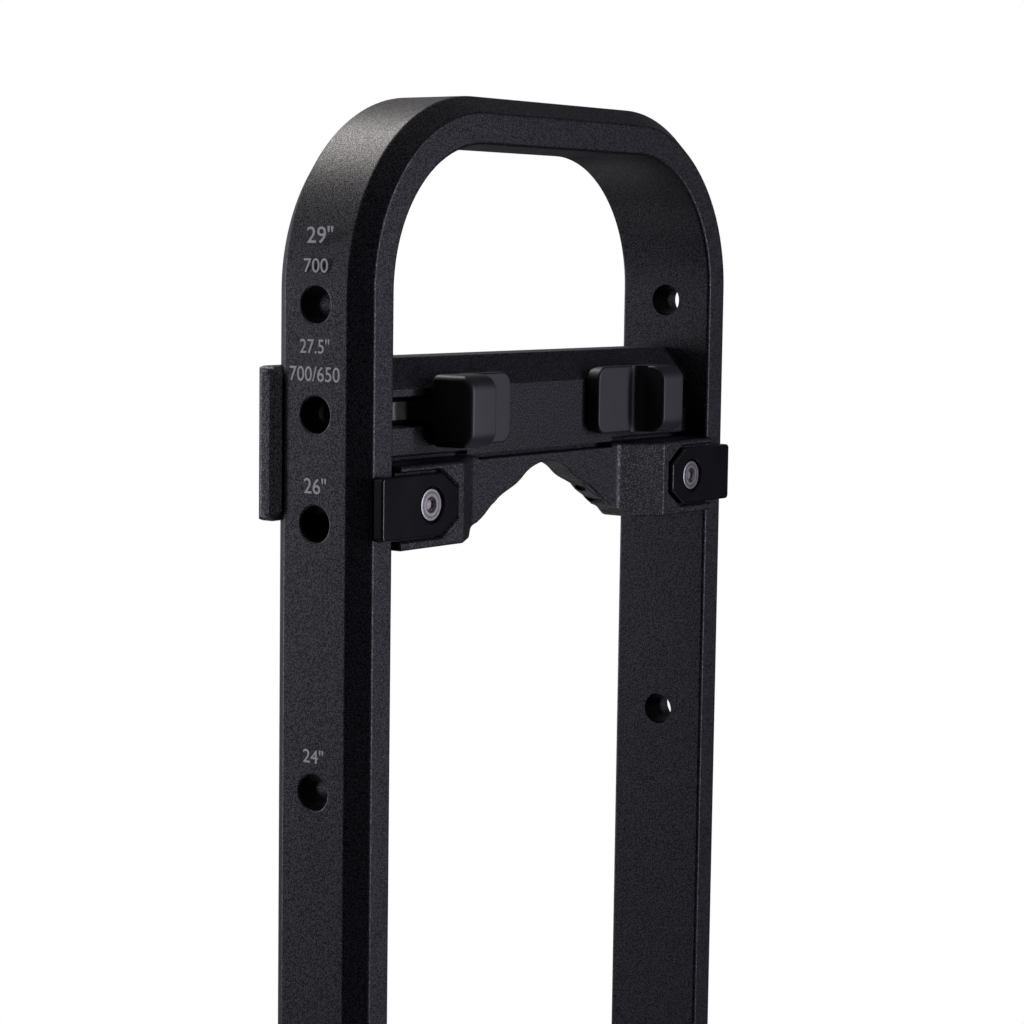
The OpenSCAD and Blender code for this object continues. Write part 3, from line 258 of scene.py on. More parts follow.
powder_coat = Finish("sandy_powder_coat", {
    "Specular IOR Level": 0.16, "Specular Tint": (0.93, 0.91, 1, 1),
    "Coat Roughness": 0.38, "Coat Tint": (0.96, 0.95, 1, 1)})
sand = powder_coat.ramp(powder_coat.cloud(0.48, 1.5, 0.55), 0.44, 0.61)
sand_patch = powder_coat.cloud(22, 3.0)
sand_fleck = powder_coat.ramp(powder_coat.grains(0.6), 0.0, 0.30, to_low=1.0, to_high=0.0)
coat_dark, coat_light = (0.0006, 0.0006, 0.0010, 1), (0.0152, 0.0142, 0.0228, 1)
powder_coat.paint(
    colour=powder_coat.tint(sand * 0.55 + sand_fleck * 0.35 + sand_patch * 0.1,
                            coat_dark, coat_light),
    rough=0.36 + sand * 0.10 + sand_patch * 0.04, height=sand + sand_fleck * 0.6, depth=0.06,
    glint=0.05 + sand * 0.75 + sand_fleck * 0.30)

# Points nearer than the gap are merged. Faces that meet at less than the first turn are made one,
# edges sharper than the second are rounded, and edges softer than the third are shaded smooth
merge_gap, flat_turn, edge_turn, soft_turn = 0.00002, radians(0.6), radians(32), radians(38)


def skin_tree(name, first_steps):
    """Geometry Nodes group with one mesh in and one out"""
    tree = bpy.data.node_groups.new(name, "GeometryNodeTree")
    tree.interface.new_socket("Mesh", in_out="INPUT", socket_type="NodeSocketGeometry")
    tree.interface.new_socket("Mesh", in_out="OUTPUT", socket_type="NodeSocketGeometry")
    net = Net(tree)
    net.node("NodeGroupOutput", sockets={0: first_steps(net, net.node("NodeGroupInput"))})
    return tree


def joined_skin(net, mesh):
    plain = net.node("GeometryNodeRemoveAttribute",
                     sockets={"Geometry": mesh, "Name": "custom_normal"})
    whole = net.node("GeometryNodeMergeByDistance",
                     sockets={"Geometry": plain, "Distance": merge_gap})
    return net.node("GeometryNodeSetShadeSmooth", {"domain": "FACE"}, {"Geometry": whole})


def shaded_skin(net, mesh):
    turn = net.node("GeometryNodeInputMeshEdgeAngle")
    soft = net.node("FunctionNodeCompare", {"data_type": "FLOAT", "operation": "LESS_THAN"},
                    {0: turn, 1: soft_turn})
    faces = net.node("GeometryNodeSetShadeSmooth", {"domain": "FACE"}, {"Geometry": mesh})
    return net.node("GeometryNodeSetShadeSmooth", {"domain": "EDGE"},
                    {"Geometry": faces, "Shade Smooth": soft})


joined_tree = skin_tree("joined_skin", joined_skin)
shaded_tree = skin_tree("shaded_skin", shaded_skin)


def dress(finish, names, edge=0.5):
    """Gives CAD nodes their finish and softens their edges by some tenths of a millimetre"""
    for name in names.split():
        node = frame["nodes"][name]
        for place in node.material_slots:
            place.material = finish.material
        node.modifiers.new("joined", "NODES").node_group = joined_tree
        flat = node.modifiers.new("flat", "DECIMATE")
        flat.decimate_type, flat.angle_limit = "DISSOLVE", flat_turn
        if edge:
            round_edge = node.modifiers.new("round_edge", "BEVEL")
            round_edge.width, round_edge.segments = edge / 1000, 3
            round_edge.limit_method, round_edge.angle_limit = "ANGLE", edge_turn
        node.modifiers.new("shaded", "NODES").node_group = shaded_tree
        node.modifiers.new("even", "WEIGHTED_NORMAL").keep_sharp = True


dress(powder_coat, "stinger_tube bracket_plates", 0.8)


# ---------------------------------------------------------------- weld beads
# The plates are welded round their edges by hand, in short overlapping puddles. The beads were
# coated together with the steel, so they have the same finish.
def along_tree():
    """Geometry Nodes group that sets copies of a shape along the edges of a mesh"""
    tree = bpy.data.node_groups.new("copies_along_a_path", "GeometryNodeTree")
    for label, kind in (("Path", "Geometry"), ("Shape", "Object"), ("Spacing", "Float"),
                        ("Wander", "Float"), ("Seed", "Int"), ("Centre", "Vector"),
                        ("Finish", "Material")):
        tree.interface.new_socket(label, in_out="INPUT", socket_type="NodeSocket" + kind)
    tree.interface.new_socket("Copies", in_out="OUTPUT", socket_type="NodeSocketGeometry")
    net = Net(tree)
    entry = tree.nodes.new("NodeGroupInput")
    given = {socket.name: Wire(net, socket) for socket in entry.outputs if socket.name}
    line = net.node("GeometryNodeMeshToCurve", sockets={"Mesh": given["Path"]})
    spots = tree.nodes.new("GeometryNodeCurveToPoints")
    spots.mode = "LENGTH"
    net.join(line, spots.inputs["Curve"])
    net.join(given["Spacing"], spots.inputs["Length"])
    outward = net.node("ShaderNodeVectorMath", {"operation": "SUBTRACT"},
                       {0: net.node("GeometryNodeInputPosition"), 1: given["Centre"]})
    ahead = net.node("FunctionNodeAlignRotationToVector", {"axis": "X"},
                     {"Vector": Wire(net, spots.outputs["Tangent"])})
    stand = net.node("FunctionNodeAlignRotationToVector", {"axis": "Z", "pivot_axis": "X"},
                     {"Rotation": ahead, "Vector": outward})
    size = net.node("FunctionNodeRandomValue", {"data_type": "FLOAT"}, {
        "Min": 1.0 - given["Wander"], "Max": 1.0 + given["Wander"], "Seed": given["Seed"]}, 1)
    shape = net.node("GeometryNodeObjectInfo", sockets={"Object": given["Shape"]}, out="Geometry")
    copies = net.node("GeometryNodeInstanceOnPoints", sockets={
        "Points": Wire(net, spots.outputs["Points"]), "Instance": shape,
        "Rotation": stand, "Scale": size})
    solid = net.node("GeometryNodeRealizeInstances", sockets={"Geometry": copies})
    painted = net.node("GeometryNodeSetMaterial", sockets={
        "Geometry": solid, "Material": given["Finish"]})
    net.node("NodeGroupOutput", sockets={"Copies": painted})
    return tree


copies_along = along_tree()


def temporary(name, mesh):
    thing = bpy.data.objects.new(name, mesh)
    bpy.context.scene.collection.objects.link(thing)
    return thing


def settled(thing, name):
    """Plain mesh of an object with its modifiers applied; the object is removed"""
    bpy.context.view_layer.update()
    graph = bpy.context.evaluated_depsgraph_get()
    mesh = bpy.data.meshes.new_from_object(
        thing.evaluated_get(graph), preserve_all_data_layers=True, depsgraph=graph)
    mesh.name = name
    bpy.data.objects.remove(thing)
    return mesh


def repeated(name, paths, shape, spacing, finish, wander=0.0, seed=1, centre=(0, 0, -5)):
    """Copies of a form along paths, both in millimetres; they stand away from a centre (metres)"""
    points, edges = [], []
    for path in paths:
        edges += [(len(points) + i, len(points) + i + 1) for i in range(len(path) - 1)]
        points += [Vector(point) / 1000 for point in path]
    line = bpy.data.meshes.new(name)
    line.from_pydata(points, edges, [])
    pattern = temporary(name + "_shape", plain_mesh(name + "_shape", shape))
    holder = temporary(name, line)
    modifier = holder.modifiers.new("copies", "NODES")
    modifier.node_group = copies_along
    inputs = {item.name: item.identifier for item in copies_along.interface.items_tree
              if item.in_out == "INPUT"}
    for label, value in (("Shape", pattern), ("Spacing", spacing / 1000), ("Wander", wander),
                         ("Seed", seed), ("Centre", centre), ("Finish", finish.material)):
        modifier[inputs[label]] = value
    mesh = settled(holder, name)
    bpy.data.objects.remove(pattern)
    return mesh


def plain_mesh(name, form):
    """Mesh in metres from a form, which is points in millimetres and faces"""
    mesh = bpy.data.meshes.new(name)
    mesh.from_pydata([Vector(point) / 1000 for point in form[0]], [], form[1])
    mesh.shade_smooth()
    return mesh


def ring_form(rings):
    """Closed form through rings of points, each with the same number of points"""
    count = len(rings[0])
    points = [point for ring in rings for point in ring]
    faces = []
    for k in range(len(rings) - 1):
        a, b = k * count, (k + 1) * count
        faces += [(a + i, a + (i + 1) % count, b + (i + 1) % count, b + i) for i in range(count)]
    faces += [tuple(range(count - 1, -1, -1)), tuple(range(len(points) - count, len(points)))]
    return points, faces


def piece(name, mesh, body, replaced=()):
    """Puts a finished mesh in the scene, on its body and in place of the CAD nodes it shows"""
    thing = bpy.data.objects.new(name, mesh)
    bpy.context.scene.collection.objects.link(thing)
    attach(thing, body)
    if replaced:
        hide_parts(*replaced)
    return thing


def puddle(width, length, height):
    """One weld puddle: a flat drop, X along the bead"""
    steps, sides, thin = 6, 10, 0.02
    rings = []
    for k in range(steps + 1):
        angle = pi * k / steps
        bulge = sin(angle) + thin
        rings.append([(-length / 2 * cos(angle), width / 2 * bulge * cos(turn),
                       height * bulge * sin(turn))
                      for turn in [2 * pi * i / sides for i in range(sides)]])
    return ring_form(rings)


bead = puddle(width=6, length=5.2, height=2.4)
bead_step, bead_wander = 2.1, 0.12
plate_front, plate_side, tube_side = -65.5, 26.5, 25.6
plate_beads = [[(plate_front, side * plate_side, z) for z in (-14, 14)] for side in (-1, 1)]
tube_beads = [[(x, side * tube_side, tube_side) for x in (-150, -92)] for side in (-1, 1)]
piece("hitch_tube_welds", repeated(
    "hitch_tube_welds", plate_beads + tube_beads, bead, bead_step, powder_coat, bead_wander,
    seed=4, centre=(-0.1, 0, 0)), "hitch_arm")
spine_side, saddle_z, index_x = 20.2, 103.6, -300.6
saddle_beads = [[(x, side * spine_side, saddle_z) for x in (-443, -357)] for side in (-1, 1)]
index_beads = [[(index_x, side * spine_side, z) for z in (62, 98)] for side in (-1, 1)]
piece("spine_welds", repeated(
    "spine_welds", saddle_beads + index_beads, bead, bead_step, powder_coat, bead_wander,
    seed=9, centre=(-0.4, 0, 0.02)), "rack_arm")


# ---------------------------------------------------------------- anti rattle screw
# A long zinc plated screw runs along the bottom of the hitch tube and draws a cast wedge against
# the slanting end. It is turned by a moulded star knob behind the tube's end plug.
moulded = Finish("moulded_black_plastic", {
    "Specular IOR Level": 0.18, "Specular Tint": (0.94, 0.92, 1, 1),
    "Coat Roughness": 0.42, "Coat Tint": (0.96, 0.95, 1, 1)})
pebble = moulded.ramp(moulded.cloud(0.52, 1.5, 0.55), 0.46, 0.62)
pebble_patch = moulded.cloud(30, 2.0)
moulded_dark, moulded_light = (0.0008, 0.0008, 0.0012, 1), (0.0138, 0.0130, 0.0205, 1)
moulded.paint(
    colour=moulded.tint(pebble * 0.7 + pebble_patch * 0.3, moulded_dark, moulded_light),
    rough=0.40 + pebble * 0.10 + pebble_patch * 0.05, height=pebble, depth=0.12,
    glint=0.04 + pebble * 0.96)

zinc = Finish("zinc_plate", {"Metallic": 1.0})
zinc_patch = zinc.cloud(5, 4.0, 0.6)
zinc_scratch = zinc.cloud(0.9, 3.0, 0.6, stretch=(1, 1, 0.15))
zinc.paint(colour=zinc.tint(zinc_patch, (0.36, 0.37, 0.38, 1), (0.56, 0.56, 0.54, 1)),
           rough=0.24 + zinc_patch * 0.18 + zinc_scratch * 0.08,
           height=zinc_scratch, depth=0.01)

cast = Finish("cast_steel", {"Metallic": 0.9})
cast_skin = cast.cloud(1.6, 5.0, 0.7)
cast_patch = cast.cloud(14, 3.0)
cast.paint(colour=cast.tint(cast_patch * 0.7 + cast_skin * 0.3,
                            (0.10, 0.10, 0.105, 1), (0.22, 0.21, 0.20, 1)),
           rough=0.45 + cast_skin * 0.25, height=cast_skin, depth=0.15)

dress(zinc, "anti_rattle_rod anti_rattle_nut", 0.4)
dress(cast, "anti_rattle_wedge", 0.9)
dress(moulded, "stinger_end_plug", 0.7)

# For each axis, the two ways across it and the way along it
PLANES = {"x": ((0, 1, 0), (0, 0, 1), (1, 0, 0)), "y": ((1, 0, 0), (0, 0, 1), (0, 1, 0)),
          "z": ((1, 0, 0), (0, 1, 0), (0, 0, 1))}


def rounded(corners, radius, steps=4):
    """Outline with its corners turned into arcs, by one radius or one for each corner"""
    straight = pi / 2 - 0.01
    outline = []
    for i, corner in enumerate(corners):
        r = radius[i] if isinstance(radius, (list, tuple)) else radius
        here = Vector(corner)
        back = (Vector(corners[i - 1]) - here).normalized()
        on = (Vector(corners[(i + 1) % len(corners)]) - here).normalized()
        half = back.angle(on) / 2
        if r == 0 or half > straight:
            outline.append(here)
            continue
        centre = here + (back + on).normalized() * r / sin(half)
        arm = here + back * r / tan(half) - centre
        turn = arm.angle_signed(here + on * r / tan(half) - centre)
        outline += [centre + Matrix.Rotation(-turn * k / steps, 2) @ arm for k in range(steps + 1)]
    return outline


def inset(outline, by):
    """Outline moved inwards by a distance, outwards where it is negative"""
    moved = []
    for i, here in enumerate(outline):
        before = (here - outline[i - 1]).normalized()
        after = (outline[(i + 1) % len(outline)] - here).normalized()
        inward = Vector((-before.y - after.y, before.x + after.x))
        moved.append(here + inward * by * 2 / inward.dot(inward))
    return moved


def stack(outline, levels, axis):
    """Form through one outline at several heights along an axis, each with its own inset"""
    across, along, normal = (Vector(v) for v in PLANES[axis])
    outline = [Vector(point) for point in outline]
    area = sum(p.x * q.y - q.x * p.y for p, q in zip(outline, outline[1:] + outline[:1]))
    if area < 0:
        outline.reverse()
    rings = [[across * p.x + along * p.y + normal * height for p in inset(outline, by)]
             for height, by in levels]
    points, faces = ring_form(rings)
    if axis == "y":
        faces = [face[::-1] for face in faces]
    return points, faces


def levels(low, high, soft_low, soft_high):
    """Heights and insets of a prism whose rims are rounded"""
    steps = 3
    angles = [pi / 2 * k / steps for k in range(steps + 1)]
    bottom = [(low + soft_low * (1 - cos(a)), soft_low * (1 - sin(a))) for a in angles]
    top = [(high - soft_high * (1 - cos(a)), soft_high * (1 - sin(a))) for a in angles[::-1]]
    return (bottom if soft_low else [(low, 0)]) + (top if soft_high else [(high, 0)])


def prism(outline, low, high, axis, soft_low=0.0, soft_high=0.0):
    return stack(outline, levels(low, high, soft_low, soft_high), axis)


def lathe(profile, axis, around=48, at=(0, 0, 0)):
    """Turned form from radii and heights along an axis"""
    across, along, normal = (Vector(v) for v in PLANES[axis])
    side = -1 if axis == "y" else 1
    rings = [[Vector(at) + across * r * cos(t) + along * r * sin(t) * side + normal * height
              for t in [2 * pi * i / around for i in range(around)]]
             for r, height in profile]
    return ring_form(rings)


def moved(form, by):
    return [Vector(point) + Vector(by) for point in form[0]], form[1]


def mirrored(form):
    """The same form on the other side of X = 0, its faces still pointing outwards"""
    return [Vector((-p[0], p[1], p[2])) for p in form[0]], [face[::-1] for face in form[1]]


def together(*forms):
    points, faces = [], []
    for form in forms:
        faces += [tuple(i + len(points) for i in face) for face in form[1]]
        points += [Vector(point) for point in form[0]]
    return points, faces


def carve(form, *cuts):
    """Joins and cuts closed forms; each cut is UNION, DIFFERENCE or INTERSECT and a form"""
    def rough(part):
        mesh = bpy.data.meshes.new("rough")
        mesh.from_pydata(part[0], [], part[1])
        return temporary("rough", mesh)

    subject = rough(form)
    tools = []
    for how, tool in cuts:
        tools.append(rough(tool))
        cut = subject.modifiers.new(how, "BOOLEAN")
        cut.operation, cut.solver, cut.object = how, "MANIFOLD", tools[-1]
    mesh = settled(subject, "rough")
    for tool in tools:
        bpy.data.objects.remove(tool)
    result = ([vertex.co.copy() for vertex in mesh.vertices],
              [tuple(face.vertices) for face in mesh.polygons])
    bpy.data.meshes.remove(mesh)
    return result


def smooth_mesh(name, form, finish, crease=38):
    """Finished mesh in metres: doubles merged, flats kept flat, edges above the crease sharp"""
    near, flat = 0.000003, radians(0.4)
    mesh = plain_mesh(name, form)
    work = bmesh.new()
    work.from_mesh(mesh)
    bmesh.ops.remove_doubles(work, verts=work.verts, dist=near)
    bmesh.ops.dissolve_degenerate(work, dist=near, edges=work.edges)
    bmesh.ops.dissolve_limit(work, angle_limit=flat, verts=work.verts, edges=work.edges)
    work.to_mesh(mesh)
    work.free()
    mesh.shade_smooth()
    mesh.set_sharp_from_angle(angle=radians(crease))
    mesh.materials.append(finish.material)
    holder = temporary(name, mesh)
    holder.modifiers.new("even", "WEIGHTED_NORMAL").keep_sharp = True
    return settled(holder, name)


def star(size, lobes, dip):
    """Outline of a star grip with round lobes"""
    count, pinch = 168, 1.6
    return [Vector((cos(t), sin(t))) * (size / 2 - dip * (0.5 - 0.5 * cos(lobes * t)) ** pinch)
            for t in [2 * pi * i / count for i in range(count)]]


def star_knob(size, lobes, axis, face, back, hub_end, hub_size, at):
    """Grip with a domed face, a dished middle and a hub; the face looks along the axis"""
    turn = 1 if back > face else -1
    depth, hub_r = abs(back - face), hub_size / 2
    # Depth behind the face and inset of the grip's outline
    rim = [(0.0, 5.2), (0.5, 3.1), (1.3, 1.6), (2.6, 0.6), (4.4, 0.0), (depth - 2.4, 0.0),
           (depth - 1.2, 0.4), (depth - 0.4, 1.1), (depth, 2.2)]
    heights = [(face + turn * h, by) for h, by in rim]
    grip = stack(star(size, lobes, size * 0.075), heights[::turn], axis)
    # Radius and height of the hub and of the hollow in the face
    hub = [(hub_r + 1.5, back - turn * 2), (hub_r + 0.6, back + turn * 0.4),
           (hub_r, back + turn * 1.2), (hub_r, hub_end - turn * 0.6), (hub_r - 0.6, hub_end)]
    dish = [(size * 0.24, face - turn), (size * 0.24, face), (size * 0.22, face + turn * 0.9),
            (size * 0.14, face + turn * 1.5)]
    body = carve(grip, ("UNION", lathe(hub[::turn], axis)),
                 ("DIFFERENCE", lathe(dish[::turn], axis)))
    return moved(body, at)


piece("anti_rattle_star_knob", smooth_mesh("anti_rattle_star_knob", star_knob(
    size=42, lobes=6, axis="x", face=-193.3, back=-175.3, hub_end=-169.3, hub_size=23,
    at=(0, 0, -13.65)), moulded), "anti_rattle_screw", ("anti_rattle_knob",))


# ---------------------------------------------------------------- tilt hinge and its lock
# A zinc plated bolt with a nut is the hinge. Above it a turned housing holds a stainless lock pin
# and its spring; the moulded cross handle is pulled outwards to free the arm.
stainless = Finish("stainless_steel", {"Metallic": 1.0})
lathe_lines = stainless.cloud(0.5, 3.0, 0.6, stretch=(1, 0.12, 1))
steel_patch = stainless.cloud(4, 3.0)
stainless.paint(
    colour=stainless.tint(steel_patch, (0.50, 0.49, 0.47, 1), (0.66, 0.65, 0.62, 1)),
    rough=0.20 + lathe_lines * 0.12 + steel_patch * 0.08, height=lathe_lines, depth=0.008)

dress(zinc, "tilt_pivot_bolt tilt_pivot_nut tilt_lock_housing tilt_lock_cap", 0.5)
dress(stainless, "tilt_lock_pin", 0.5)
dress(stainless, "tilt_lock_spring", 0)
dress(moulded, "tilt_lock_handle", 0.8)


# ---------------------------------------------------------------- tilting arm
# A rectangular steel tube with an index plate welded to each side, a plain sleeve as its bearing,
# and the saddle plate that the wheel beam is bolted to.
dress(powder_coat, "spine_tube index_plates beam_saddle", 0.8)
dress(zinc, "spine_sleeve saddle_bolts", 0.5)
dress(moulded, "spine_end_cap", 0.8)


# ---------------------------------------------------------------- wheel beam and hoop bracket
# One long rectangular tube along the bicycle with moulded caps in its ends. The pressed bracket
# for the hoop sits on it under the front wheel and is held by countersunk bolts.
dress(powder_coat, "tray_beam hoop_bracket rear_clamp", 0.8)
dress(moulded, "beam_end_caps", 0.9)
dress(zinc, "bracket_bolts rear_clamp_bolt", 0.3)


# ---------------------------------------------------------------- wheel trays
# Moulded troughs for the wheels with slots for straps in their floors and raised cross ribs where
# the tire stands. The rear one slides on the beam and is clamped from below with a star knob.
dress(moulded, "front_tray rear_tray", 0.9)


def tray_rib(length, width, height):
    """One rib across the tray's floor, rounded on top, its length along Y"""
    profile = [(-width / 2, -0.4), (width / 2, -0.4), (width / 2, height * 0.5),
               (width * 0.3, height * 0.9), (0, height), (-width * 0.3, height * 0.9),
               (-width / 2, height * 0.5)]
    return prism(profile, -length / 2, length / 2, "y", 0.6, 0.6)


tray_x, wheel_y, rib_z, rib_step = -400, 560, 160, 7
rib = tray_rib(length=46, width=3, height=1.4)
front_ribs = [[(tray_x, -wheel_y + near, rib_z), (tray_x, -wheel_y + far, rib_z)]
              for near, far in ((-84, -42), (-14, 14), (42, 84))]
rear_ribs = [[(tray_x, wheel_y - 66, rib_z), (tray_x, wheel_y + 66, rib_z)]]
for tray, ribs, body in (("front_tray", front_ribs, "rack_arm"),
                         ("rear_tray", rear_ribs, "rear_wheel_holder")):
    piece(tray + "_ribs", repeated(tray + "_ribs", ribs, rib, rib_step, moulded), body)
piece("rear_clamp_star_knob", smooth_mesh("rear_clamp_star_knob", star_knob(
    size=40, lobes=6, axis="z", face=84.4, back=99.4, hub_end=104.4, hub_size=20,
    at=(tray_x, wheel_y, 0)), moulded), "rear_clamp_screw", ("rear_clamp_knob",))


# ---------------------------------------------------------------- rear wheel strap
# A flexible ratchet strap arches over the rear tire. Its teeth are moulded on the side of the
# buckle, and the lever of the buckle pulls it tight a tooth at a time.
strap_rubber = Finish("strap_elastomer", {"Specular IOR Level": 0.5})
strap_cloud = strap_rubber.cloud(3, 3.0)
strap_grain = strap_rubber.cloud(0.4, 2.0)
strap_rubber.paint(
    colour=strap_rubber.tint(strap_cloud, (0.009, 0.009, 0.0095, 1), (0.018, 0.018, 0.019, 1)),
    rough=0.36 + strap_cloud * 0.12, height=strap_grain, depth=0.02)
satin = Finish("satin_black_plastic", {"Specular IOR Level": 0.5})
satin_cloud = satin.cloud(9, 3.0)
satin_grain = satin.cloud(0.35, 2.0)
satin.paint(
    colour=satin.tint(satin_cloud, (0.0062, 0.0066, 0.0080, 1), (0.0100, 0.0105, 0.0125, 1)),
    rough=0.30 + satin_cloud * 0.08 + satin_grain * 0.05, height=satin_grain, depth=0.008)

dress(moulded, "strap_anchors buckle_base", 0.5)
dress(satin, "buckle_lever", 0.6)
dress(stainless, "buckle_pin", 0.3)
dress(zinc, "strap_screw", 0.3)

strap_at = Vector((-400, 655, 157))
strap_r, strap_low, strap_side = 50.5, 4, 72


def arch(radius, first, last, steps):
    """Points of the half circle over the tire, from one angle to another, in the strap's frame"""
    return [(radius * cos(a), 0, strap_side + radius * sin(a))
            for a in [first + (last - first) * k / steps for k in range(steps + 1)]]


def strap_ring(section, px, pz):
    """A section of the strap set square to its run at one of its points"""
    lean = atan2(pz - strap_side, px) if pz > strap_side else (0 if px > 0 else pi)
    return [strap_at + Vector((px + cos(lean) * y, x, pz + sin(lean) * y)) for x, y in section]


strap_run = [(strap_r, 0, strap_low)] + arch(strap_r, 0, pi, 48) + [(-strap_r, 0, strap_low)]
band = rounded([(-12.5, 0), (12.5, 0), (12.5, 2.2), (-12.5, 2.2)], 0.7)
near_rib = [(-12.5, 2.0), (-9.6, 2.0), (-10.2, 3.0), (-12.0, 3.0)]
far_rib = [(-x, y) for x, y in near_rib]
strap_form = together(
    ring_form([strap_ring(band, px, pz)[::-1] for px, _, pz in strap_run]),
    ring_form([strap_ring(near_rib, px, pz)[::-1] for px, _, pz in strap_run]),
    ring_form([strap_ring(far_rib, px, pz) for px, _, pz in strap_run]))
piece("ratchet_strap_band", smooth_mesh("ratchet_strap_band", strap_form, strap_rubber),
      "rear_wheel_holder", ("wheel_strap",))
tooth_r, tooth_step = 52.7, 3.4
tooth = prism([(-1.6, -0.4), (1.5, -0.4), (1.2, 0.85), (0.7, 0.9)], -8.6, 8.6, "y", 0.3, 0.3)
teeth_run = [tuple(strap_at + Vector(p)) for p in arch(tooth_r, radians(70), radians(172), 40)]
piece("ratchet_strap_teeth", repeated(
    "ratchet_strap_teeth", [teeth_run], tooth, tooth_step, strap_rubber,
    centre=(-0.4, 0.655, 0.229)), "rear_wheel_holder")


# ---------------------------------------------------------------- wheel hoop
# A flat hollow extrusion is bent into an inverted U. It is drilled for the lock pins of the cradle
# and each hole is lined with a short sleeve. The sandy powder coat rounds all its edges a little.
hoop_x, hoop_y = -400, -560
leg_foot, leg_t, bend_z, bend_x, bend_r = 160.85, 17.5, 932.8, 50.5, 52.5
# Outlines of the tube and of the hollow in it: X outwards from its inner face, Y along the bicycle
hoop_section = rounded([(0, -21.15), (11.3, -21.15), (leg_t, -14.15), (leg_t, 14.15),
                        (11.3, 21.15), (0, 21.15)], [1.4, 1.6, 1.6, 1.6, 1.6, 1.4], 4)
room_section = [Vector(p) for p in ((3, -18.15), (9.95, -18.15), (14.5, -13.0), (14.5, 13.0),
                                    (9.95, 18.15), (3, 18.15))]


def hoop_sweep(section, foot):
    """Form of a section swept up the right leg, round the top and down the left leg"""
    steps = 36
    rings = [[(bend_x + bend_r + p.x, p.y, foot) for p in section]]
    for middle, first in ((bend_x, 0), (-bend_x, pi / 2)):
        for k in range(steps + 1):
            a = first + pi / 2 * k / steps
            rings.append([(middle + (bend_r + p.x) * cos(a), p.y, bend_z + (bend_r + p.x) * sin(a))
                          for p in section])
    rings.append([(-bend_x - bend_r - p.x, p.y, foot) for p in section])
    return ring_form(rings)


def hole_tool(radius, height, rim=0.9, slight=0.15):
    """Cutter for a hole through both legs; the coating eases its rims, most on the left outside"""
    outer, inner = bend_x + bend_r + leg_t, bend_x + bend_r
    arc = [pi / 2 * k / 4 for k in range(5)]
    walls = []
    for ease in (rim, slight):
        wall = [(radius + ease, outer + 2)]
        wall += [(radius + ease - ease * cos(a), outer - ease + ease * sin(a)) for a in arc[::-1]]
        wall += [(radius + slight - slight * cos(a), inner + slight - slight * sin(a)) for a in arc]
        walls.append(wall)
    whole = [(r, -x) for r, x in walls[0]] + [(r, x) for r, x in walls[1][::-1]]
    return lathe(whole, "x", 56, (0, 0, height))


pin_heights = (928, 889.9, 851.8, 756.8)
pin_hole_r, pivot_hole_r, pivot_z = 6.35, 5.1, 185
sleeve_r, sleeve_len = 7.6, 16
sleeves = [lathe([(sleeve_r, x), (sleeve_r, x + sleeve_len)], "x", 40, (0, 0, z))
           for z in pin_heights for x in (-119.5, 103.5)]
hoop_form = carve(
    hoop_sweep(hoop_section, leg_foot),
    ("DIFFERENCE", hoop_sweep(room_section, leg_foot - 1)),
    *[("UNION", sleeve) for sleeve in sleeves],
    *[("DIFFERENCE", hole_tool(pin_hole_r, z)) for z in pin_heights],
    ("DIFFERENCE", hole_tool(pivot_hole_r, pivot_z, 0.4)))
hoop_mesh = smooth_mesh("bent_hoop_tube", moved(hoop_form, (hoop_x, hoop_y, 0)), powder_coat)
piece("bent_hoop_tube", hoop_mesh, "wheel_hoop", ("hoop_frame",))
dress(moulded, "left_foot_plug right_foot_plug", 0.5)
dress(zinc, "hoop_pivot_bolts hoop_pivot_nut", 0.6)
piece("hoop_star_knob", smooth_mesh("hoop_star_knob", star_knob(
    size=52, lobes=7, axis="x", face=-145.8, back=-126.8, hub_end=-120.8, hub_size=26,
    at=(hoop_x, hoop_y, pivot_z)), moulded), "hoop_knob", ("hoop_lock_knob",))


# ---------------------------------------------------------------- wheel size marks
# Plain numbers are printed in light grey ink above the pin holes on the outer face of the left
# leg. They name the wheel sizes in inches and millimetres that each hole suits.
ink = Finish("light_grey_ink", {"Specular IOR Level": 0.3})
ink_wear = ink.cloud(0.8, 3.0, 0.6)
ink.paint(colour=ink.tint(ink_wear, (0.46, 0.46, 0.46, 1), (0.62, 0.62, 0.62, 1)),
          rough=0.5 + ink_wear * 0.2, height=ink.cloud(0.5, 2.0), depth=0.01)
ink_x, ink_half = hoop_x - 120.51, 0.05
# Each mark, its foot and head above the top pin hole, and its two ends along the bicycle
marks = (('29"', 21.2, 27.1, 4.1, -7.6), ("700", 11.1, 16.0, 5.4, -5.4),
         ('27.5"', -16.8, -11.7, 7.0, -6.2), ("700/650", -26.5, -21.3, 11.6, -11.0),
         ('26"', -65.6, -60.0, 4.8, -5.2), ('24"', -160.6, -155.7, 4.5, -4.7))
mark_work = bmesh.new()
for words, low, high, near, far in marks:
    letters = bpy.data.curves.new("mark", "FONT")
    letters.body, letters.extrude, letters.offset = words, 0.01, 0.004
    print_mesh = settled(temporary("mark", letters), "mark")
    xs = [v.co.x for v in print_mesh.vertices]
    ys = [v.co.y for v in print_mesh.vertices]
    left, foot, wide, tall = min(xs), min(ys), max(xs) - min(xs), max(ys) - min(ys)
    for v in print_mesh.vertices:
        share_x, share_y = (v.co.x - left) / wide, (v.co.y - foot) / tall
        v.co = Vector((ink_x - (ink_half if v.co.z > 0 else -ink_half),
                       hoop_y + near + (far - near) * share_x,
                       pin_heights[0] + low + (high - low) * share_y)) / 1000
    mark_work.from_mesh(print_mesh)
    bpy.data.meshes.remove(print_mesh)
mark_mesh = bpy.data.meshes.new("wheel_size_marks")
mark_work.to_mesh(mark_mesh)
mark_work.free()
mark_mesh.materials.append(ink.material)
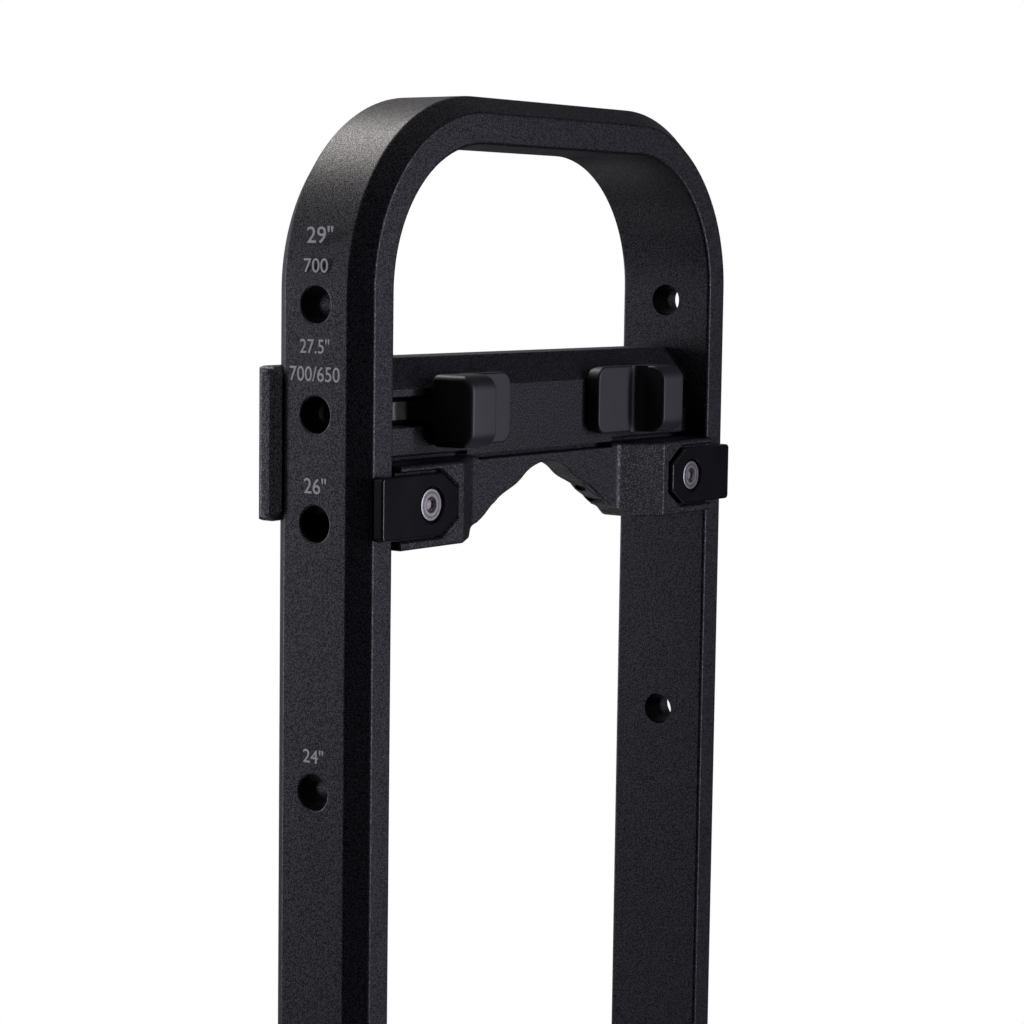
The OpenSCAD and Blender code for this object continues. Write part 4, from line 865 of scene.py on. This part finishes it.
piece("wheel_size_marks", mark_mesh, "wheel_hoop")


# ---------------------------------------------------------------- cradle moulding
# The tire cradle is one moulding of glass filled nylon: a crossbar with a sloping top edge, a neck,
# the notch for the tire below it, and a boss at each end that the clip plates are bolted to.
def flowing(points):
    """Smooth line through points"""
    steps = 4
    line = []
    for k in range(len(points) - 1):
        before, here, there, after = (
            Vector(points[min(max(k + j, 0), len(points) - 1)]) for j in (-1, 0, 1, 2))
        for i in range(steps):
            t = i / steps
            line.append(0.5 * (2 * here + (there - before) * t + (
                2 * before - 5 * here + 4 * there - after) * t * t + (
                3 * here - before - 3 * there + after) * t * t * t))
    return [tuple(point) for point in line] + [tuple(points[-1])]


cradle_at = Vector((hoop_x, hoop_y, 889.9))
# Sizes in the cradle's own frame, from the middle of the pin axis: the end of the moulding, the
# faces that lie on front and back of the legs, and the heights of the web and the bosses
cradle_x, seat_y = 102.7, 21.45
web_low, web_top, boss_top, boss_front = -47.4, -18.9, -17.4, -24.3
notch = flowing([
    (0, -21.9), (4.4, -22.4), (8.1, -23.3), (11.2, -24.4), (14, -25.9), (16.6, -27.7),
    (19.4, -29.3), (22.8, -30.7), (26.4, -32), (29.8, -33.4), (32.8, -35), (35.4, -36.6),
    (37.6, -38.2), (40.2, -40.1), (43.4, -41.8), (47.4, -43.1), (49.6, -44.4), (51.6, -46),
    (53.6, -47.1), (56.4, web_low), (60.5, web_low)])


def clip_outline(grow):
    """Outline of a clip plate, seen from the front"""
    near, far, top, low, cut_x, cut_z = 71 - grow, 114.3, -20.8 + grow, -43.3 - grow, 9.3, 6.2
    return rounded([(near + cut_x, low), (far, low), (far, top), (near + cut_x, top),
                    (near, top - cut_z), (near, low + cut_z)], [0.8, 1.4, 1.4, 0.8, 0.8, 0.8], 3)


bar_profile = rounded([(-11.5, -15.9), (11.5, -15.9), (11.5, 19.1), (-4, 19.1), (-11.5, 8.1)],
                      [0.9, 0.9, 1.2, 0.9, 1.2], 4)
# The ends of the bar follow the bend of the hoop, so that they clear it at the top hole
bend_up, end_r = 4.8, 52.2
room_arc = [(bend_x + end_r * cos(a), bend_up + end_r * sin(a))
            for a in [radians(2 * k) for k in range(13)]]
bar_room = ([(-cradle_x, -30), (cradle_x, -30)] + room_arc
            + [(-x, z) for x, z in room_arc[::-1]])
crossbar = carve(prism(bar_profile, -cradle_x, cradle_x, "x"),
                 ("INTERSECT", prism(bar_room, -30, 30, "y")))
neck = prism([(-7.4, -18.98), (7.4, -18.98), (7.4, -15), (-7.4, -15)], -cradle_x, cradle_x, "x")
lip_half = 47.8
lip = prism([(-11.5, -17.0), (-7.3, -17.0), (-7.3, -15), (-11.5, -15)], -lip_half, lip_half, "x")
flank = [(-cradle_x, web_low)] + [(-x, z) for x, z in notch[:0:-1]] + notch + [
    (cradle_x, web_low), (cradle_x, web_top), (-cradle_x, web_top)]
web = prism(flank, -14, -4, "y", 0.5, 1.0)
boss_plan = rounded([(44, -4.1), (44, -13.98), (48.5, -14), (66.2, boss_front),
                     (cradle_x, boss_front), (cradle_x, -4.1)], [0, 0, 6, 1.8, 0.6, 0], 5)
boss_back = prism(rounded([(73, -9), (cradle_x, -9), (cradle_x, seat_y), (73, seat_y)],
                          [0, 0, 0.6, 1.2], 4), -40, boss_top, "z", 1.4, 1.4)
under = ([(-60.6, -60), (60.6, -60)] + [(x, z + 0.03) for x, z in notch[::-1]]
         + [(-x, z + 0.03) for x, z in notch[1:]])
boss = carve(prism(boss_plan, -47.35, boss_top, "z", 0.8, 1.7),
             ("DIFFERENCE", prism(under, -30, 30, "y")), ("UNION", boss_back))
pocket = stack(clip_outline(0.8), [(-27, -0.7), (boss_front, -0.7), (-23.5, 0), (-seat_y, 0)],
               "y")
slot = stack(rounded([(55.2, -5.2), (106, -5.2), (106, 5.2), (55.2, 5.2)], 1.2),
             [(-15, -0.5), (-11.5, -0.5), (-10.9, 0), (0, 0)], "y")
bore_r = 6.05
bore = lathe([(bore_r, 14), (bore_r, 106)], "x")
pad_line = [(24.2, -30.6), (30.4, -33.2), (36.6, -36.3), (42.6, -40.1)]
pad_well = prism([(x, z - 2.5) for x, z in pad_line] + [(x, z + 3.05) for x, z in pad_line[::-1]],
                 -12.75, -5.25, "y")
cradle_form = carve(
    crossbar, ("UNION", neck), ("UNION", lip), ("UNION", web), ("UNION", boss),
    ("UNION", mirrored(boss)),
    *[("DIFFERENCE", tool) for cut in (pocket, slot, bore, pad_well)
      for tool in (cut, mirrored(cut))])
cradle_mesh = smooth_mesh("cradle_moulding", moved(cradle_form, cradle_at), moulded)
piece("cradle_moulding", cradle_mesh, "cradle", ("cradle_body",))


# ---------------------------------------------------------------- tire pads
# A soft rubber pad is let into each flank of the notch and stands proud of it, so that only
# rubber touches the tire. Each is held by one small countersunk screw.
pad_rubber = Finish("pad_rubber", {"Specular IOR Level": 0.5})
rubber_cloud = pad_rubber.cloud(4, 3.0)
rubber_grain = pad_rubber.cloud(0.5, 2.0)
pad_rubber.paint(
    colour=pad_rubber.tint(rubber_cloud, (0.0080, 0.0080, 0.0084, 1), (0.014, 0.014, 0.0145, 1)),
    rough=0.38 + rubber_cloud * 0.14, height=rubber_grain, depth=0.02)

pad_face = [(24.3, -30.7), (26.6, -32.4), (30.4, -35.3), (33.4, -36.9), (36.6, -38.4),
            (40.2, -39.35), (42.5, -40.05)]
pad_block = prism(pad_face + [(x, z + 2.95) for x, z in pad_line[::-1]],
                  -12.65, -5.35, "y", 0.8, 0.8)
well_points, well_faces = lathe([(2.4, -5), (2.4, 0.75)], "z", 32)
well_turn, well_at = Matrix.Rotation(radians(25), 4, "Y"), Vector((30.4, -9, -33.2))
screw_well = [well_turn @ Vector(p) + well_at for p in well_points], well_faces
right_pad = carve(pad_block, ("DIFFERENCE", screw_well))
for hand, form in (("right", right_pad), ("left", mirrored(right_pad))):
    pad_mesh = smooth_mesh(hand + "_tire_pad", moved(form, cradle_at), pad_rubber, crease=30)
    piece(hand + "_tire_pad", pad_mesh, "cradle", (hand + "_pad",))
dress(stainless, "pad_screws", 0.2)


# ---------------------------------------------------------------- clip plates and bolts
# A smooth moulded plate sits in a pocket of each boss and reaches over the front of the leg. One
# stainless countersunk socket bolt goes through plate, boss and back guide into a nut.
bolt_at = Vector((86, 0, -32.05))
countersink = lathe([(7.0, -27), (7.0, -25.4), (6.7, -25.1), (6.6, -24.3), (3.1, -22.0),
                     (3.1, -20)], "y", 56)
plate_skin = Finish("smooth_black_plastic", {"Specular IOR Level": 0.34})
plate_cloud = plate_skin.cloud(12, 3.0)
plate_grain = plate_skin.cloud(0.4, 2.0)
plate_dark, plate_light = (0.0030, 0.0034, 0.0050, 1), (0.0056, 0.0062, 0.0086, 1)
plate_skin.paint(colour=plate_skin.tint(plate_cloud, plate_dark, plate_light),
                 rough=0.17 + plate_cloud * 0.05 + plate_grain * 0.04,
                 height=plate_grain, depth=0.004)
clip_plate = carve(prism(clip_outline(0), -25.4, -seat_y, "y", 0.9, 0.2),
                   ("DIFFERENCE", moved(countersink, bolt_at)))
for hand, form in (("right", clip_plate), ("left", mirrored(clip_plate))):
    clip_mesh = smooth_mesh(hand + "_leg_clip", moved(form, cradle_at), plate_skin)
    piece(hand + "_leg_clip", clip_mesh, "cradle", (hand + "_clip_plate",))

# The marks of the lathe run round the middle of each bolt, whose place is in metres
turned = Finish("turned_stainless", {"Metallic": 1.0})
hoop_mid, bolt_out, bolt_up = 0.4, 0.086, 0.85785
line_gap = 0.8
place_x, place_z = (turned.node("ShaderNodeSeparateXYZ", sockets={0: turned.place}, out=way)
                    for way in ("X", "Z"))
off_x = turned.node("ShaderNodeMath", {"operation": "ABSOLUTE"}, {0: place_x + hoop_mid}) - bolt_out
off_z = place_z - bolt_up
tool_lines = turned.node("ShaderNodeTexNoise", {"noise_dimensions": "1D"}, {
    "W": (off_x * off_x + off_z * off_z) ** 0.5, "Scale": 1000 / line_gap, "Detail": 3.0})
bolt_patch = turned.cloud(2.5, 3.0)
tool_marks = bolt_patch * 0.4 + turned.ramp(tool_lines, 0.35, 0.65) * 0.6
turned.paint(colour=turned.tint(tool_marks, (0.10, 0.095, 0.102, 1), (0.40, 0.38, 0.40, 1)),
             rough=0.24 + tool_lines * 0.18 + bolt_patch * 0.06, height=tool_lines, depth=0.05)
bolt_turned = lathe([(5.35, -24.8), (5.65, -24.7), (5.8, -24.4), (3.0, -21.7), (3.0, 30.8),
                     (2.5, 31.45)], "y", 56)
socket_r = 2.1
hexagon = [(socket_r * cos(a), socket_r * sin(a))
           for a in [pi / 3 * k + pi / 6 for k in range(6)]]
socket_rim = lathe([(2.9, -25.4), (2.9, -24.8), (socket_r, -24.2), (socket_r, -24)], "y", 40)
bolt = carve(bolt_turned, ("DIFFERENCE", socket_rim),
             ("DIFFERENCE", prism(hexagon, -27, -23.4, "y")))
right_bolt = moved(bolt, bolt_at)
bolt_pair = moved(together(right_bolt, mirrored(right_bolt)), cradle_at)
piece("countersunk_clip_bolts", smooth_mesh(
    "countersunk_clip_bolts", bolt_pair, turned, crease=30), "cradle", ("clip_bolts",))
dress(zinc, "clip_nuts", 0.3)


# ---------------------------------------------------------------- back guides
# A moulded guide behind each leg hugs its back corner, so that the cradle runs true when it is
# moved. It has the same sandy grain as the cradle and softly rounded ends.
guide_out, guide_back, guide_low, guide_top = 122.8, 25.45, -38.5, 16.4
guide_plan = rounded(
    [(73, seat_y), (114.5, seat_y), (120.8, 14.35), (120.8, 14.15), (121.4, 14.15),
     (guide_out, 18.95), (guide_out, guide_back), (73, guide_back)],
    [0.3, 0.3, 0, 0, 0.25, 1, 3.2, 0.5], 5)
guide_side = rounded([(60, guide_low), (guide_out, guide_low), (guide_out, guide_top),
                      (60, guide_top)], 3.0, 6)
guide_end = rounded([(14.15, -34), (19, guide_low), (guide_back, guide_low),
                     (guide_back, guide_top), (19, guide_top), (14.15, 12.4)],
                    [1, 3, 2.6, 2.6, 3, 1], 4)
over_boss = prism([(70, 0), (103, 0), (103, 40), (70, 40)], boss_top, 30, "z")
back_guide = carve(
    prism(guide_plan, -40, 18, "z"), ("INTERSECT", prism(guide_side, 0, 40, "y")),
    ("INTERSECT", prism(guide_end, 60, 130, "x")), ("DIFFERENCE", over_boss))
for hand, form in (("right", back_guide), ("left", mirrored(back_guide))):
    guide_mesh = smooth_mesh(hand + "_leg_guide", moved(form, cradle_at), moulded)
    piece(hand + "_leg_guide", guide_mesh, "cradle", (hand + "_back_guide",))


# ---------------------------------------------------------------- squeeze tabs, pins and springs
# The two finger tabs are squeezed together to draw the stainless lock pins out of the legs against
# their springs. Each is a smooth moulding with a raised block that the fingertip pushes against.
tab_skin = Finish("satin_tab_plastic", {
    "Specular IOR Level": 0.46, "Specular Tint": (0.94, 0.92, 1, 1)})
tab_cloud = tab_skin.cloud(9, 3.0)
tab_grain = tab_skin.cloud(0.45, 2.0)
tab_dark, tab_light = (0.0060, 0.0060, 0.0076, 1), (0.0120, 0.0118, 0.0150, 1)
tab_skin.paint(colour=tab_skin.tint(tab_cloud * 0.7 + tab_grain * 0.3, tab_dark, tab_light),
               rough=0.42 + tab_cloud * 0.08 + tab_grain * 0.06, height=tab_grain, depth=0.012)

# The right tab: a base plate, a raised block with a soft foot, and the arm to the pin
tab_in, block_in, tab_out, tab_half = 29, 55.5, 70.5, 13.1
tab_back, base_front, block_front = -11.8, -17.5, -30.5
tab_rim = rounded([(tab_in, -tab_half), (tab_out, -tab_half), (tab_out, tab_half),
                   (tab_in, tab_half)], [5.2, 2.4, 2.4, 5.2], 8)
tab_side = rounded([(block_front, -tab_half), (tab_back, -tab_half), (tab_back, tab_half),
                    (block_front, tab_half)], [6, 3.2, 3.2, 6], 8)
foot_x, foot_y, foot_wide, foot_deep = 51.7, -22.5, 3.8, 5
foot_arc = [(foot_x + foot_wide * sin(a), foot_y + foot_deep * cos(a))
            for a in [pi / 2 * k / 10 for k in range(11)]]
foot = prism(foot_arc + [(57, foot_y), (57, -14), (foot_x, -14)], -tab_half, tab_half, "z")
block = carve(prism(tab_side, block_in, tab_out, "x", 0.9, 1.7), ("UNION", foot),
              ("INTERSECT", prism(tab_rim, -32, tab_back, "y")))
base = carve(prism(tab_rim, base_front, tab_back, "y", 0.9, 0.5),
             ("INTERSECT", prism(tab_side, 20, tab_out, "x", 0, 1.7)))
arm = prism(rounded([(55.8, -4.9), (70.2, -4.9), (70.2, 4.9), (55.8, 4.9)], 0.8),
            -13, -5.08, "y")
tab = carve(base, ("UNION", block), ("UNION", arm))
for hand, form in (("right", tab), ("left", mirrored(tab))):
    tab_mesh = smooth_mesh(hand + "_finger_tab", moved(form, cradle_at), tab_skin, crease=42)
    piece(hand + "_finger_tab", tab_mesh, hand + "_latch", (hand + "_tab",))
dress(stainless, "left_lock_pin right_lock_pin", 0.5)
dress(stainless, "left_spring right_spring", 0)
